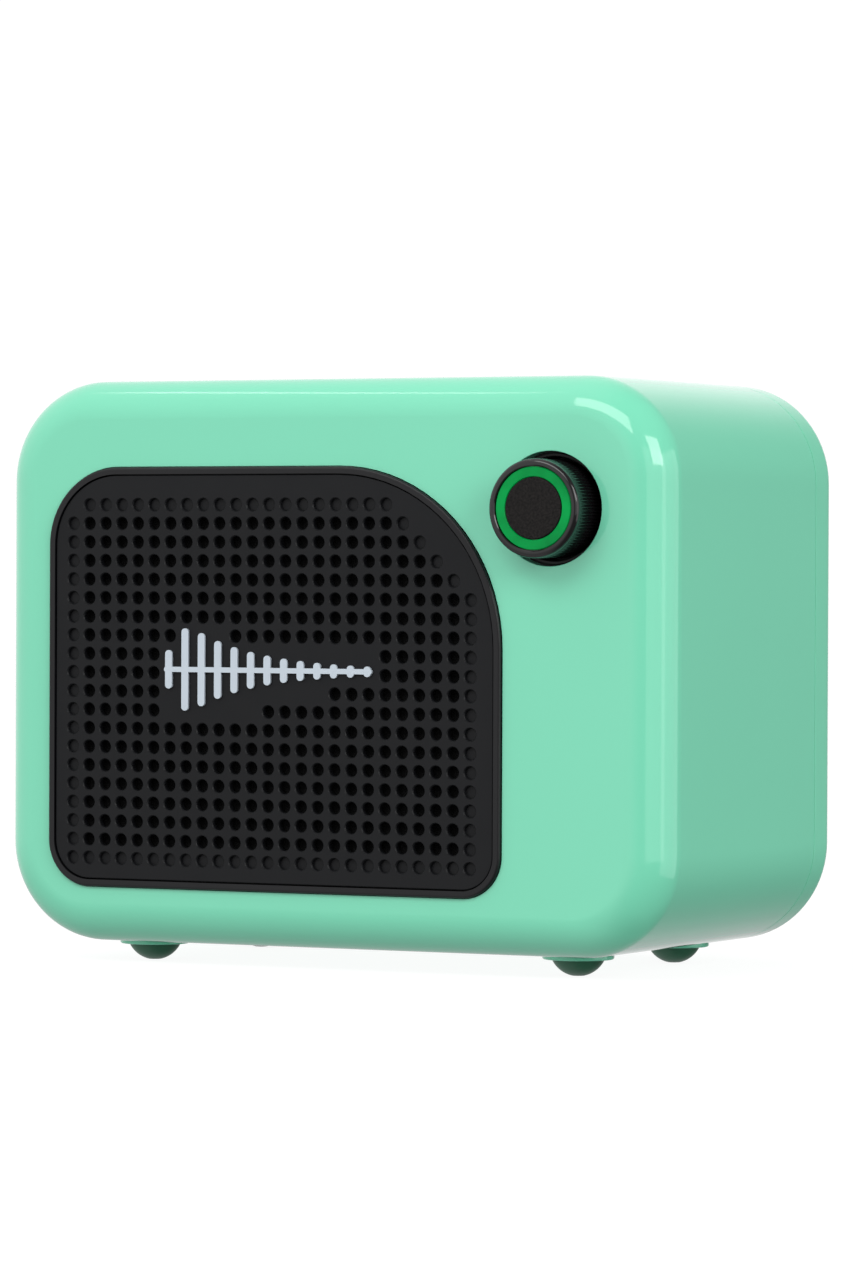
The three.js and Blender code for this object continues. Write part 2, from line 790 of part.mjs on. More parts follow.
// The slider stands at the off end of its slot.
function switchSlider() {
  const back = BAY.floor - BAY.thickness - GAP;
  const x = SWITCH.x - SWITCH.travel / 2;
  const base = box(x - 2.2, x + 2.2, back - 3.3, back - 0.3, SWITCH.z - 1.4, SWITCH.z + 1.4);
  const stem = box(x - 1.4, x + 1.4, back - 1, BODY.back - 1, SWITCH.z - 0.9, SWITCH.z + 0.9);
  return join(base, stem);
}

function electronics() {
  const group = new THREE.Group();
  const plate = box(BOARD.left, BOARD.right, BOARD.front, BOARD.back, BOARD.bottom, BOARD.top);
  const holes = BOARD_SCREWS.map(([x, y]) => pillar(x, y, 1.5, BOARD.bottom - 1, BOARD.top + 1));
  piece(group, "main_board", "circuit", cut(plate, ...holes));
  BOARD_SCREWS.forEach(([x, y], i) => {
    const fastener = piece(group, `main_board_screw_${i + 1}`, "steel", screw(2.4, 1.6, 1.1, 8));
    fastener.rotation.x = Math.PI / 2;
    fastener.position.set(x, y, BOARD.top + GAP);
  });
  piece(group, "amplifier_chip", "chip", box(33, 43, 2, 12, BOARD.top + GAP, BOARD.top + 1.9));
  piece(group, "input_jack", "blackPlastic", inputJack());
  piece(group, "input_jack_bushing", "steel", inputJackBushing());
  const nutFront = BAY.floor + GAP;
  const nut = cut(
    slab(hexagon(JACK.x, JACK.z, 6.8), nutFront, nutFront + 2),
    rod(JACK.x, JACK.z, JACK.bushing + GAP, 0, 60),
  );
  piece(group, "input_jack_nut", "steel", nut);
  piece(group, "headphone_jack", "blackPlastic", headphoneJack());
  piece(group, "usb_port", "steel", usbPort());
  piece(group, "power_switch_body", "steel", switchBody());
  piece(group, "power_switch_slider", "blackPlastic", switchSlider());
  return group;
}

// ---------- battery ----------

function cradle() {
  const [left, right] = [CELL.left - 1.8, CELL.right + 1.8];
  const [front, back] = [CELL.y - 11.2, CELL.y + 11.2];
  const bottom = CELL.z - CELL.radius - 1.8;
  const block = box(left, right, front, back, bottom, CELL.z + 4);
  const room = box(left + 1.5, right - 1.5, front + 1.5, back - 1.5, bottom + 1.5, CELL.z + 10);
  const dip = box(left + 8, right - 8, front - 1, back + 1, CELL.z - 3, CELL.z + 10);
  return cut(block, room, dip);
}

function cell() {
  const button = 2.7;
  const shoulder = CELL.right - 1.2;
  const body = turned(
    [
      [0, CELL.left],
      [CELL.radius - 0.5, CELL.left],
      [CELL.radius, CELL.left + 0.5],
      [CELL.radius, shoulder - 0.5],
      [CELL.radius - 0.5, shoulder],
      [button, shoulder],
      [button, CELL.right],
      [0, CELL.right],
    ],
    24,
  );
  return body.rotateZ(-Math.PI / 2).translate(0, CELL.y, CELL.z);
}

function power() {
  const group = new THREE.Group();
  piece(group, "battery_cradle", "blackPlastic", cradle());
  piece(group, "battery_cell", "cellWrap", cell());
  return group;
}

// ---------- passive radiator ----------

function radiator() {
  const group = groupAt(RADIATOR.x, 0, RADIATOR.z);
  const inner = BODY.back - BODY.wall;
  const plane = inner - 3.2;
  const ringInner = RADIATOR.plate + 4.6;
  piece(
    group,
    "radiator_ring",
    "basket",
    turned([
      [ringInner, plane - 0.6],
      [RADIATOR.ring, plane - 0.6],
      [RADIATOR.ring, inner - GAP],
      [ringInner, inner - GAP],
    ]),
  );
  piece(group, "radiator_surround", "rubber", turned(roll(RADIATOR.plate + 2.3, plane, 2, 0.45)));
  piece(
    group,
    "radiator_plate",
    "paper",
    turned([
      [0, plane - 2.2],
      [6, plane - 2.2],
      [6, plane - 0.6],
      [RADIATOR.plate, plane - 0.6],
      [RADIATOR.plate, plane + 0.6],
      [0, plane + 0.6],
    ]),
  );
  return group;
}

const amplifier = groupAt(0, -(KNOB.front + BODY.back) / 2, 0);
amplifier.add(housing(), speaker(), knobAndEncoder(), electronics(), power(), radiator());

export default amplifier;
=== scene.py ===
"""The finished look of a small desktop guitar practice amplifier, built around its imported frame.

Lengths are metres in the frame's own axes: +X to the right seen from the front, +Y to the back, +Z up.
Sizes that the frame doesn't give are fields of the class that builds the piece, in millimetres times MM.
"""

import logging
import math
from dataclasses import dataclass
from enum import Enum

import bmesh
import bpy
from mathutils import Matrix, Vector

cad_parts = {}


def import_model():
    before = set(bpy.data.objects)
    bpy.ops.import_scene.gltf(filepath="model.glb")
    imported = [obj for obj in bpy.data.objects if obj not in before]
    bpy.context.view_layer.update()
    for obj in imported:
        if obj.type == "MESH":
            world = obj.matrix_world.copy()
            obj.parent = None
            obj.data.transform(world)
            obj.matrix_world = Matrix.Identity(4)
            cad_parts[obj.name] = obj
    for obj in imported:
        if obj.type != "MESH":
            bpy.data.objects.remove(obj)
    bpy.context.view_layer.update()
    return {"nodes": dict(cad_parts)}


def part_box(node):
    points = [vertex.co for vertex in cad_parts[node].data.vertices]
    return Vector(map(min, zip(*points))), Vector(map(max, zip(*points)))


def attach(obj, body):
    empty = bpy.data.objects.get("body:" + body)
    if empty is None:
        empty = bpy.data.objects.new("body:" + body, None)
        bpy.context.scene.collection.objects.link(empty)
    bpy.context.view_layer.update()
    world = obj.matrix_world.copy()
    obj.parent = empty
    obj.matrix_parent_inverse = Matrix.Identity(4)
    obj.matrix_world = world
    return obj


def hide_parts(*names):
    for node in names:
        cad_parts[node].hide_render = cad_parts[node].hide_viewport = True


LOG = logging.getLogger("practice_amplifier")
MM = 0.001
# Points closer than this count as one.
TOUCHING = 1e-7
# A piece with fewer faces than this has been cut away by mistake.
MIN_FACES = 12
# How far a tool runs past the face that it cuts, or sinks into the wall that it joins.
PAST = 1 * MM
FAR_PAST = 5 * MM
HOUSING = "housing"
KNOB_BODY = "knob"
FEET = ("front_left", "rear_left", "front_right", "rear_right")

Profile = list[tuple[float, float]]


# ---------- materials ----------


class Surface(Enum):
    """How the outside of a material was made, which decides its relief."""

    MOULDED = "moulded"
    GRAINED = "grained"
    BRUSHED = "brushed"
    WOVEN = "woven"
    SINTERED = "sintered"
    ETCHED = "etched"


def to_linear(colour: str) -> tuple[float, float, float, float]:
    """Turns an sRGB hex colour into the linear colour that a shader takes.

    Args:
        colour: Six hex digits after a hash.

    Returns:
        Red, green, blue and an alpha of 1.
    """
    shares = [int(colour[i : i + 2], 16) / 255 for i in (1, 3, 5)]
    linear = [s / 12.92 if s <= 0.04045 else ((s + 0.055) / 1.055) ** 2.4 for s in shares]
    return (*linear, 1.0)


def add_node(
    tree: bpy.types.NodeTree, kind: str, inputs: dict[str, object] | None = None, **settings: object
) -> bpy.types.Node:
    """Adds one shader node with its settings and links.

    Args:
        tree: The material's node tree.
        kind: Blender's name of the node type.
        inputs: Each input's name with its value, or with the socket that feeds it.
        **settings: The node's own properties.

    Returns:
        The new node.
    """
    node = tree.nodes.new(kind)
    for name, value in settings.items():
        setattr(node, name, value)
    for name, value in (inputs or {}).items():
        if isinstance(value, bpy.types.NodeSocket):
            tree.links.new(value, node.inputs[name])
        else:
            node.inputs[name].default_value = value
    return node


@dataclass(frozen=True)
class Finish:
    """One material: what it is, how its surface was made, and how it takes the light.

    Attributes:
        name: The material's name.
        slot: The material slot that it stands for; it is not used.
        colour: Its sRGB colour.
        surface: How its outside was made.
        roughness: The middle of its roughness.
        metallic: 1 for bare metal and 0 for everything else.
        ior: Its index of refraction; a metal keeps the default.
        grain: The size of one grain, thread or scratch, in metres. Spark-eroded and brushed grain
            finer than about 0.2 mm is drawn that coarse, so that it shows.
        relief: How high the relief stands, in metres.
        mottle: How much darker its darkest patches are.
        patch: The size of those patches, in metres.
        coat: The weight of a clear coat.
        sheen: The weight of the cloth sheen.
        painted_glow: The strength of painted light that the material gives off of its own, though it is no
            lamp.
    """

    name: str
    slot: str
    colour: str
    surface: Surface
    roughness: float
    metallic: float = 0.0
    ior: float = 1.5
    grain: float = 1.0 * MM
    relief: float = 0.01 * MM
    mottle: float = 0.05
    patch: float = 12.0 * MM
    coat: float = 0.0
    sheen: float = 0.0
    painted_glow: float = 0.0

    def relief_height(self, tree: bpy.types.NodeTree, place: bpy.types.NodeSocket) -> bpy.types.NodeSocket:
        """Builds the height pattern of this surface.

        Args:
            tree: The material's node tree.
            place: The object coordinates.

        Returns:
            The socket that holds the height, from 0 to 1.
        """
        scale = 1.0 / self.grain
        if self.surface is Surface.WOVEN:
            # At a scale of 1 a wave texture repeats every pi / 10 metres.
            threads = [
                add_node(
                    tree,
                    "ShaderNodeTexWave",
                    {"Vector": place, "Scale": math.pi / 10 * scale, "Distortion": 0.4, "Detail": 1.0},
                    bands_direction=direction,
                ).outputs["Fac"]
                for direction in ("X", "Z")
            ]
            woven = add_node(tree, "ShaderNodeMath", operation="MULTIPLY")
            for socket, thread in zip(woven.inputs, threads):
                tree.links.new(thread, socket)
            return woven.outputs[0]
        if self.surface is Surface.BRUSHED:
            # The brush ran along X, so its scratches are drawn out that way.
            stretched = add_node(tree, "ShaderNodeMapping", {"Vector": place, "Scale": (0.08, 1.0, 1.0)})
            return add_node(
                tree,
                "ShaderNodeTexNoise",
                {"Vector": stretched.outputs[0], "Scale": scale, "Detail": 4.0, "Roughness": 0.6},
            ).outputs["Fac"]
        if self.surface is Surface.SINTERED:
            grains = add_node(tree, "ShaderNodeTexVoronoi", {"Vector": place, "Scale": scale})
            return grains.outputs["Distance"]
        if self.surface is Surface.ETCHED:
            cells = add_node(
                tree,
                "ShaderNodeTexVoronoi",
                {"Vector": place, "Scale": scale},
                distance="CHEBYCHEV",
                feature="DISTANCE_TO_EDGE",
            )
            return add_node(
                tree,
                "ShaderNodeMapRange",
                {"Value": cells.outputs["Distance"], "From Min": 0.05, "From Max": 0.12},
            ).outputs["Result"]
        detail = 6.0 if self.surface is Surface.GRAINED else 1.5
        return add_node(
            tree, "ShaderNodeTexNoise", {"Vector": place, "Scale": scale, "Detail": detail, "Roughness": 0.55}
        ).outputs["Fac"]

    def shade(self, share: float) -> tuple[float, float, float, float]:
        """Returns the colour with its light multiplied by share."""
        red, green, blue, alpha = to_linear(self.colour)
        return (red * share, green * share, blue * share, alpha)

    def material(self) -> bpy.types.Material:
        """Makes the material, or returns it if it is already made."""
        made = bpy.data.materials.get(self.name)
        if made is not None:
            return made
        made = bpy.data.materials.new(self.name)
        made.use_nodes = True
        tree = made.node_tree
        tree.nodes.clear()
        place = add_node(tree, "ShaderNodeTexCoord").outputs["Object"]
        height = self.relief_height(tree, place)
        patches = add_node(
            tree, "ShaderNodeTexNoise", {"Vector": place, "Scale": 1.0 / self.patch, "Detail": 3.0}
        ).outputs["Fac"]
        followed = height if self.surface in (Surface.ETCHED, Surface.WOVEN, Surface.SINTERED) else patches
        tone = add_node(tree, "ShaderNodeValToRGB", {"Fac": followed})
        tone.color_ramp.elements[0].position = 0.25
        tone.color_ramp.elements[1].position = 0.75
        tone.color_ramp.elements[0].color = self.shade(1.0 - self.mottle)
        tone.color_ramp.elements[1].color = self.shade(1.0)
        rough = add_node(
            tree,
            "ShaderNodeMapRange",
            {
                "Value": patches,
                "From Min": 0.3,
                "From Max": 0.7,
                "To Min": self.roughness * 0.88,
                "To Max": min(self.roughness * 1.12, 1.0),
            },
        )
        bump = add_node(
            tree, "ShaderNodeBump", {"Height": height, "Distance": self.relief, "Strength": 1.0}
        )
        shader = add_node(
            tree,
            "ShaderNodeBsdfPrincipled",
            {
                "Base Color": tone.outputs["Color"],
                "Roughness": rough.outputs["Result"],
                "Metallic": self.metallic,
                "Normal": bump.outputs["Normal"],
                "Coat Weight": self.coat,
                "Coat Roughness": 0.03,
                "Sheen Weight": self.sheen,
            },
        )
        if self.metallic < 1.0:
            shader.inputs["IOR"].default_value = self.ior
        # Painted light: the material gives off light of its own colour, though it is no lamp.
        if self.painted_glow:
            shader.inputs["Emission Color"].default_value = to_linear(self.colour)
            shader.inputs["Emission Strength"].default_value = self.painted_glow
        add_node(tree, "ShaderNodeOutputMaterial", {"Surface": shader.outputs["BSDF"]})
        return made


# High-gloss moulded ABS: mirror-like, with a waviness too faint to see head on.
GLOSS_ABS = Finish(
    "mint_gloss_abs", "shell", "#7bdcb8", Surface.MOULDED, 0.09,
    ior=1.5, grain=6 * MM, relief=0.004 * MM, mottle=0.015, patch=40 * MM, coat=0.3,
)  # fmt: skip
# Moulded ABS with a fine spark-eroded texture, which looks satin.
SATIN_ABS = Finish(
    "black_satin_abs_grille", "grille", "#0f1013", Surface.GRAINED, 0.52,
    ior=1.32, grain=0.35 * MM, relief=0.012 * MM, mottle=0.12, patch=6 * MM,
)  # fmt: skip
# The rim is the same plastic from a smoother mould.
RIM_ABS = Finish(
    "black_rim_abs", "rim", "#0f0f12", Surface.MOULDED, 0.4,
    ior=1.4, grain=1.2 * MM, relief=0.006 * MM, mottle=0.06,
)  # fmt: skip
# Satin silver aluminium foil badge, brushed along X, so its highlight spreads up and down.
SILVER_BADGE = Finish(
    "brushed_silver_badge", "emblem", "#c9d4de", Surface.BRUSHED, 0.36,
    metallic=0.35, grain=0.25 * MM, relief=0.004 * MM, mottle=0.06,
)  # fmt: skip
# Open woven speaker cloth, 0.5 mm thread spacing.
SPEAKER_CLOTH = Finish(
    "black_speaker_cloth", "cloth", "#070708", Surface.WOVEN, 0.95,
    ior=1.3, grain=0.5 * MM, relief=0.08 * MM, mottle=0.5, sheen=0.05,
)  # fmt: skip
# Clear-edged tinted silicone rubber: dark, soft highlights.
FOOT_RUBBER = Finish(
    "bottle_green_silicone", "foot", "#2d664c", Surface.MOULDED, 0.38,
    ior=1.41, grain=0.8 * MM, relief=0.01 * MM, mottle=0.15, patch=4 * MM,
)  # fmt: skip
# Glossy injected black plastic of the knob.
KNOB_GLOSS = Finish(
    "black_gloss_knob", "knob", "#100e10", Surface.MOULDED, 0.13,
    ior=1.48, grain=1.0 * MM, relief=0.006 * MM, mottle=0.08, patch=3 * MM, coat=0.15,
)  # fmt: skip
# Coarse spark-eroded plastic: a matte disc with visible grain. The grain of about 0.2 mm is drawn
# at 0.45 mm, so that it shows.
KNOB_GRAIN = Finish(
    "black_grained_disc", "knob_disc", "#262322", Surface.GRAINED, 0.62,
    ior=1.25, grain=0.45 * MM, relief=0.2 * MM, mottle=1.0, patch=0.45 * MM,
)  # fmt: skip
# Green ring of diffusing acrylic; it gives off a faint painted light of its own, which lifts its green though
# no lamp stands behind it.
GREEN_ACRYLIC_PAINTED_LIGHT = Finish(
    "green_acrylic_painted_light", "light", "#009f4a", Surface.MOULDED, 0.3,
    ior=1.2, grain=2 * MM, relief=0.004 * MM, mottle=0.5, patch=7 * MM, painted_glow=0.12,
)  # fmt: skip
# Moulded nylon, dull black with a faint texture.
BLACK_PLASTIC = Finish(
    "black_nylon", "black_plastic", "#0d0e0f", Surface.GRAINED, 0.55,
    grain=0.5 * MM, relief=0.01 * MM, mottle=0.1,
)  # fmt: skip
# Zinc-plated steel, brushed by rolling: a grey metal with long soft highlights.
PLATED_STEEL = Finish(
    "plated_steel", "steel", "#a4a8ad", Surface.BRUSHED, 0.32,
    metallic=1.0, grain=0.3 * MM, relief=0.004 * MM, mottle=0.12,
)  # fmt: skip
# Black-oxide steel: dark metal that still takes a highlight.
BLACK_SCREW = Finish(
    "black_oxide_screw", "black_screw", "#2a2b2e", Surface.BRUSHED, 0.38,
    metallic=0.9, grain=0.2 * MM, relief=0.004 * MM, mottle=0.15,
)  # fmt: skip
# Powder-coated pressed steel: an even, slightly pebbled black.
POWDER_COAT = Finish(
    "powder_coated_steel", "basket", "#26282b", Surface.GRAINED, 0.48,
    grain=0.6 * MM, relief=0.02 * MM, mottle=0.08,
)  # fmt: skip
# Moulded butyl rubber, a soft matte black.
BUTYL_RUBBER = Finish(
    "butyl_rubber", "soft_rubber", "#181919", Surface.MOULDED, 0.6,
    ior=1.52, grain=0.8 * MM, relief=0.01 * MM, mottle=0.1,
)  # fmt: skip
# Filled polypropylene cone, matte with a fibrous mottle.
CONE_PLASTIC = Finish(
    "filled_polypropylene", "cone", "#2b2a28", Surface.GRAINED, 0.72,
    grain=0.7 * MM, relief=0.03 * MM, mottle=0.25, patch=2 * MM,
)  # fmt: skip
# Enamelled copper wire: fine turns that show as bright warm lines.
COPPER_WIRE = Finish(
    "enamelled_copper", "copper", "#b8703c", Surface.BRUSHED, 0.3,
    metallic=1.0, grain=0.15 * MM, relief=0.02 * MM, mottle=0.2,
)  # fmt: skip
# Cotton cloth stiffened with phenolic resin: a dull amber weave.
SPIDER_CLOTH = Finish(
    "phenolic_spider_cloth", "spider_cloth", "#b4863c", Surface.WOVEN, 0.85,
    grain=0.6 * MM, relief=0.06 * MM, mottle=0.35, sheen=0.2,
)  # fmt: skip
# Sintered ferrite: dark grey, like fine stone.
FERRITE = Finish(
    "sintered_ferrite", "ferrite", "#3a3b3e", Surface.SINTERED, 0.7,
    grain=0.8 * MM, relief=0.02 * MM, mottle=0.25,
)  # fmt: skip
# Green solder mask over copper tracks, which stand up a little.
SOLDER_MASK = Finish(
    "green_solder_mask", "circuit", "#1f6140", Surface.ETCHED, 0.35,
    grain=2.5 * MM, relief=0.03 * MM, mottle=0.35,
)  # fmt: skip
# Moulded epoxy of a chip: matte charcoal.
CHIP_EPOXY = Finish(
    "chip_epoxy", "chip", "#1a1b1c", Surface.GRAINED, 0.62,
    grain=0.25 * MM, relief=0.01 * MM, mottle=0.12,
)  # fmt: skip
# Blue shrink wrap, glossy and slightly wrinkled.
CELL_WRAP = Finish(
    "shrink_wrap_blue", "cell_wrap", "#3d6ca6", Surface.MOULDED, 0.28,
    ior=1.54, grain=3 * MM, relief=0.02 * MM, mottle=0.06,
)  # fmt: skip

# Frame nodes whose shape stays, by finish; a name that ends in _ stands for every node that starts with it.
CARRIED_OVER: dict[Finish, tuple[str, ...]] = {
    BLACK_SCREW: ("rear_cover_screw_",),
    POWDER_COAT: ("speaker_basket", "radiator_ring"),
    BUTYL_RUBBER: ("speaker_gasket", "speaker_surround", "radiator_surround"),
    CONE_PLASTIC: ("speaker_cone", "speaker_dust_cap", "radiator_plate"),
    COPPER_WIRE: ("speaker_voice_coil",),
    SPIDER_CLOTH: ("speaker_spider",),
    FERRITE: ("speaker_magnet",),
    SOLDER_MASK: ("main_board", "encoder_board"),
    CHIP_EPOXY: ("amplifier_chip",),
    CELL_WRAP: ("battery_cell",),
    BLACK_PLASTIC: (
        "encoder_switch_pin",
        "input_jack",
        "headphone_jack",
        "power_switch_slider",
        "battery_cradle",
    ),
    PLATED_STEEL: (
        "speaker_top_plate",
        "speaker_yoke",
        "speaker_screw_",
        "encoder_shaft",
        "encoder_body",
        "encoder_nut",
        "main_board_screw_",
        "input_jack_nut",
        "input_jack_bushing",
        "usb_port",
        "power_switch_body",
    ),
}


# ---------- meshes ----------


@dataclass(frozen=True)
class Extent:
    """The box of one frame node at rest."""

    low: Vector
    high: Vector

    @classmethod
    def of(cls, node: str) -> "Extent":
        """Reads the box of a frame node."""
        return cls(*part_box(node))

    @property
    def centre(self) -> Vector:
        """The middle of the box."""
        return (self.low + self.high) / 2

    @property
    def axis(self) -> tuple[float, float]:
        """The x and z of the middle, where an axis along Y runs."""
        return (self.centre.x, self.centre.z)

    @property
    def radius(self) -> float:
        """Half of the width, which is the radius of a round node."""
        return (self.high.x - self.low.x) / 2


@dataclass(frozen=True)
class Outline:
    """An upright rectangle in X and Z with rounded corners.

    Attributes:
        left: Its lowest X.
        right: Its highest X.
        bottom: Its lowest Z.
        top: Its highest Z.
        radii: The corners' radii: top left, top right, bottom right, bottom left.
    """

    left: float
    right: float
    bottom: float
    top: float
    radii: tuple[float, float, float, float]

    @classmethod
    def around(
        cls, centre: tuple[float, float], half_width: float, half_height: float, radius: float
    ) -> "Outline":
        """Returns the outline about a centre in x and z, with one radius at every corner."""
        x, z = centre
        return cls(x - half_width, x + half_width, z - half_height, z + half_height, (radius,) * 4)

    @classmethod
    def of(cls, box: Extent, radii: tuple[float, float, float, float]) -> "Outline":
        """Returns the outline of a box as it is seen from the front."""
        return cls(box.low.x, box.high.x, box.low.z, box.high.z, radii)

    def inset(self, by: float) -> "Outline":
        """Returns the outline that runs at a distance inside this one."""
        radii = tuple(max(r - by, 0.2 * MM) for r in self.radii)
        return Outline(self.left + by, self.right - by, self.bottom + by, self.top - by, radii)

    def corners(self) -> list[tuple[float, float, float]]:
        """Returns each corner's x, z and radius."""
        places = [
            (self.left, self.top),
            (self.right, self.top),
            (self.right, self.bottom),
            (self.left, self.bottom),
        ]
        return [(x, z, radius) for (x, z), radius in zip(places, self.radii)]

    def area(self) -> float:
        """Returns the area inside the outline."""
        lost = sum((1 - math.pi / 4) * r * r for r in self.radii)
        return (self.right - self.left) * (self.top - self.bottom) - lost


class Carve(Enum):
    """What a solid tool does to a piece."""

    REMOVE = "DIFFERENCE"
    ADD = "UNION"


def round_edges(bm: bmesh.types.BMesh, edges: list[bmesh.types.BMEdge], radius: float, segments: int) -> None:
    """Rounds edges.

    Args:
        bm: The mesh.
        edges: The edges.
        radius: The radius of the rounding.
        segments: How many flats make it.
    """
    bmesh.ops.bevel(
        bm,
        geom=edges,
        offset=radius,
        offset_type="OFFSET",
        segments=segments,
        profile=0.5,
        affect="EDGES",
        material=-1,
    )


def add_plate(
    bm: bmesh.types.BMesh, outline: Outline, front: float, back: float, segments: int = 12
) -> None:
    """Adds a flat plate with the given outline.

    Args:
        bm: The mesh that it is added to.
        outline: Its shape in X and Z.
        front: Its lowest Y.
        back: Its highest Y.
        segments: How many flats make each rounded corner.
    """
    verts = bmesh.ops.create_cube(bm, size=1.0)["verts"]
    size = (outline.right - outline.left, back - front, outline.top - outline.bottom)
    middle = ((outline.left + outline.right) / 2, (front + back) / 2, (outline.bottom + outline.top) / 2)
    bmesh.ops.scale(bm, vec=size, verts=verts)
    bmesh.ops.translate(bm, vec=middle, verts=verts)
    upright = {
        (x, z): next(
            edge
            for vert in verts
            for edge in vert.link_edges
            if all(abs(v.co.x - x) < TOUCHING and abs(v.co.z - z) < TOUCHING for v in edge.verts)
        )
        for x, z, _ in outline.corners()
    }
    for x, z, radius in outline.corners():
        round_edges(bm, [upright[(x, z)]], radius, segments)


def new_plate(outline: Outline, front: float, back: float, segments: int = 12) -> bmesh.types.BMesh:
    """Starts a mesh with one flat plate.

    Args:
        outline: Its shape in X and Z.
        front: Its lowest Y.
        back: Its highest Y.
        segments: How many flats make each rounded corner.

    Returns:
        The mesh.
    """
    bm = bmesh.new()
    add_plate(bm, outline, front, back, segments)
    return bm


def round_rim(bm: bmesh.types.BMesh, y: float, radius: float, segments: int = 4) -> None:
    """Rounds every edge that lies in the plane at y.

    Args:
        bm: The mesh.
        y: Where the plane crosses the Y axis.
        radius: The radius of the rounding.
        segments: How many flats make it.
    """
    rim = [e for e in bm.edges if all(abs(v.co.y - y) < TOUCHING for v in e.verts)]
    round_edges(bm, rim, radius, segments)


def add_turned(
    bm: bmesh.types.BMesh, profile: Profile, centre: tuple[float, float], steps: int
) -> None:
    """Adds a solid of revolution about an axis along Y.

    Args:
        bm: The mesh that it is added to.
        profile: Radius and y of each point; the ends stand on the axis, or the last joins the first.
        centre: The axis's x and z.
        steps: How many flats go round.
    """
    x, z = centre
    verts = [bm.verts.new((x + radius, y, z)) for radius, y in profile]
    edges = [bm.edges.new(pair) for pair in zip(verts, verts[1:])]
    if profile[0][0] > 0:
        edges.append(bm.edges.new((verts[-1], verts[0])))
    bmesh.ops.spin(
        bm,
        geom=verts + edges,
        cent=(x, 0, z),
        axis=(0, 1, 0),
        dvec=(0, 0, 0),
        angle=math.tau,
        steps=steps,
        use_merge=True,
    )
    bmesh.ops.remove_doubles(bm, verts=bm.verts, dist=TOUCHING)


def new_turned(profile: Profile, centre: tuple[float, float], steps: int) -> bmesh.types.BMesh:
    """Starts a mesh with one solid of revolution about an axis along Y.

    Args:
        profile: Radius and y of each point; the ends stand on the axis, or the last joins the first.
        centre: The axis's x and z.
        steps: How many flats go round.

    Returns:
        The mesh.
    """
    bm = bmesh.new()
    add_turned(bm, profile, centre, steps)
    return bm


def add_upright(bm: bmesh.types.BMesh, profile: Profile, place: Vector, steps: int = 48) -> None:
    """Adds a solid of revolution about an upright axis.

    Args:
        bm: The mesh that it is added to.
        profile: Radius and z of each point, from end to end of the axis.
        place: A point over which the axis stands; only its x and y count.
        steps: How many flats go round.
    """
    before = set(bm.verts)
    add_turned(bm, [(radius, -z) for radius, z in profile], (0, 0), steps)
    new = [v for v in bm.verts if v not in before]
    bmesh.ops.rotate(bm, verts=new, cent=(0, 0, 0), matrix=Matrix.Rotation(-math.pi / 2, 3, "X"))
    bmesh.ops.translate(bm, verts=new, vec=(place.x, place.y, 0))


def add_rod(
    bm: bmesh.types.BMesh, centre: tuple[float, float], radius: float, front: float, back: float, steps: int
) -> None:
    """Adds a round bar along Y.

    Args:
        bm: The mesh that it is added to.
        centre: Its axis's x and z.
        radius: Its radius.
        front: Its lowest Y.
        back: Its highest Y.
        steps: How many flats go round.
    """
    add_turned(bm, [(0, front), (radius, front), (radius, back), (0, back)], centre, steps)


def arc(middle: tuple[float, float], radius: float, start: float, end: float, steps: int) -> Profile:
    """Returns points on a circular arc of a profile.

    Args:
        middle: The arc's centre.
        radius: Its radius.
        start: The first point's angle in degrees.
        end: The last point's angle in degrees.
        steps: How many chords it has.

    Returns:
        The points, both ends included.
    """
    angles = [math.radians(start + (end - start) * i / steps) for i in range(steps + 1)]
    return [(middle[0] + radius * math.cos(a), middle[1] + radius * math.sin(a)) for a in angles]


def settle(bm: bmesh.types.BMesh, name: str) -> bpy.types.Object:
    """Turns a mesh in the making into an object whose faces point outwards.

    Args:
        bm: The mesh, which is used up.
        name: The object's name.

    Returns:
        The object, at the origin.
    """
    bmesh.ops.recalc_face_normals(bm, faces=bm.faces)
    mesh = bpy.data.meshes.new(name)
    bm.to_mesh(mesh)
    bm.free()
    made = bpy.data.objects.new(name, mesh)
    bpy.context.scene.collection.objects.link(made)
    return made


def carve(piece: bpy.types.Object, tool: bmesh.types.BMesh, operation: Carve) -> None:
    """Changes a piece by a solid tool.

    Args:
        piece: The piece.
        tool: The tool's mesh, which is used up.
        operation: Whether the tool is removed or added.
    """
    other = settle(tool, "tool")
    modifier = piece.modifiers.new("carve", "BOOLEAN")
    modifier.operation = operation.value
    modifier.solver = "MANIFOLD"
    modifier.object = other
    graph = bpy.context.evaluated_depsgraph_get()
    shaped = bpy.data.meshes.new_from_object(piece.evaluated_get(graph))
    if len(shaped.polygons) < MIN_FACES:
        raise RuntimeError(f"{piece.name} came out empty")
    piece.modifiers.clear()
    before = piece.data
    piece.data = shaped
    bpy.data.meshes.remove(before)
    bpy.data.objects.remove(other)


def dress(
    piece: bpy.types.Object, finish: Finish, body: str, replaces: tuple[str, ...] = (), sharp: float = 35.0
) -> bpy.types.Object:
    """Shades a piece, gives it its finish and hangs it on its body.

    Args:
        piece: The piece.
        finish: Its material.
        body: The frame body that it moves with.
        replaces: The frame nodes that it stands for.
        sharp: Edges that turn by more than this many degrees stay crisp.

    Returns:
        The piece.
    """
    piece.data.shade_smooth()
    piece.data.set_sharp_from_angle(angle=math.radians(sharp))
    weighted = piece.modifiers.new("weighted_normals", "WEIGHTED_NORMAL")
    weighted.keep_sharp = True
    piece.data.materials.clear()
    piece.data.materials.append(finish.material())
    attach(piece, body)
    if replaces:
        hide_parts(*replaces)
    LOG.info("%s: %d faces, %s", piece.name, len(piece.data.polygons), finish.name)
    return piece


# ---------- sub-assemblies ----------


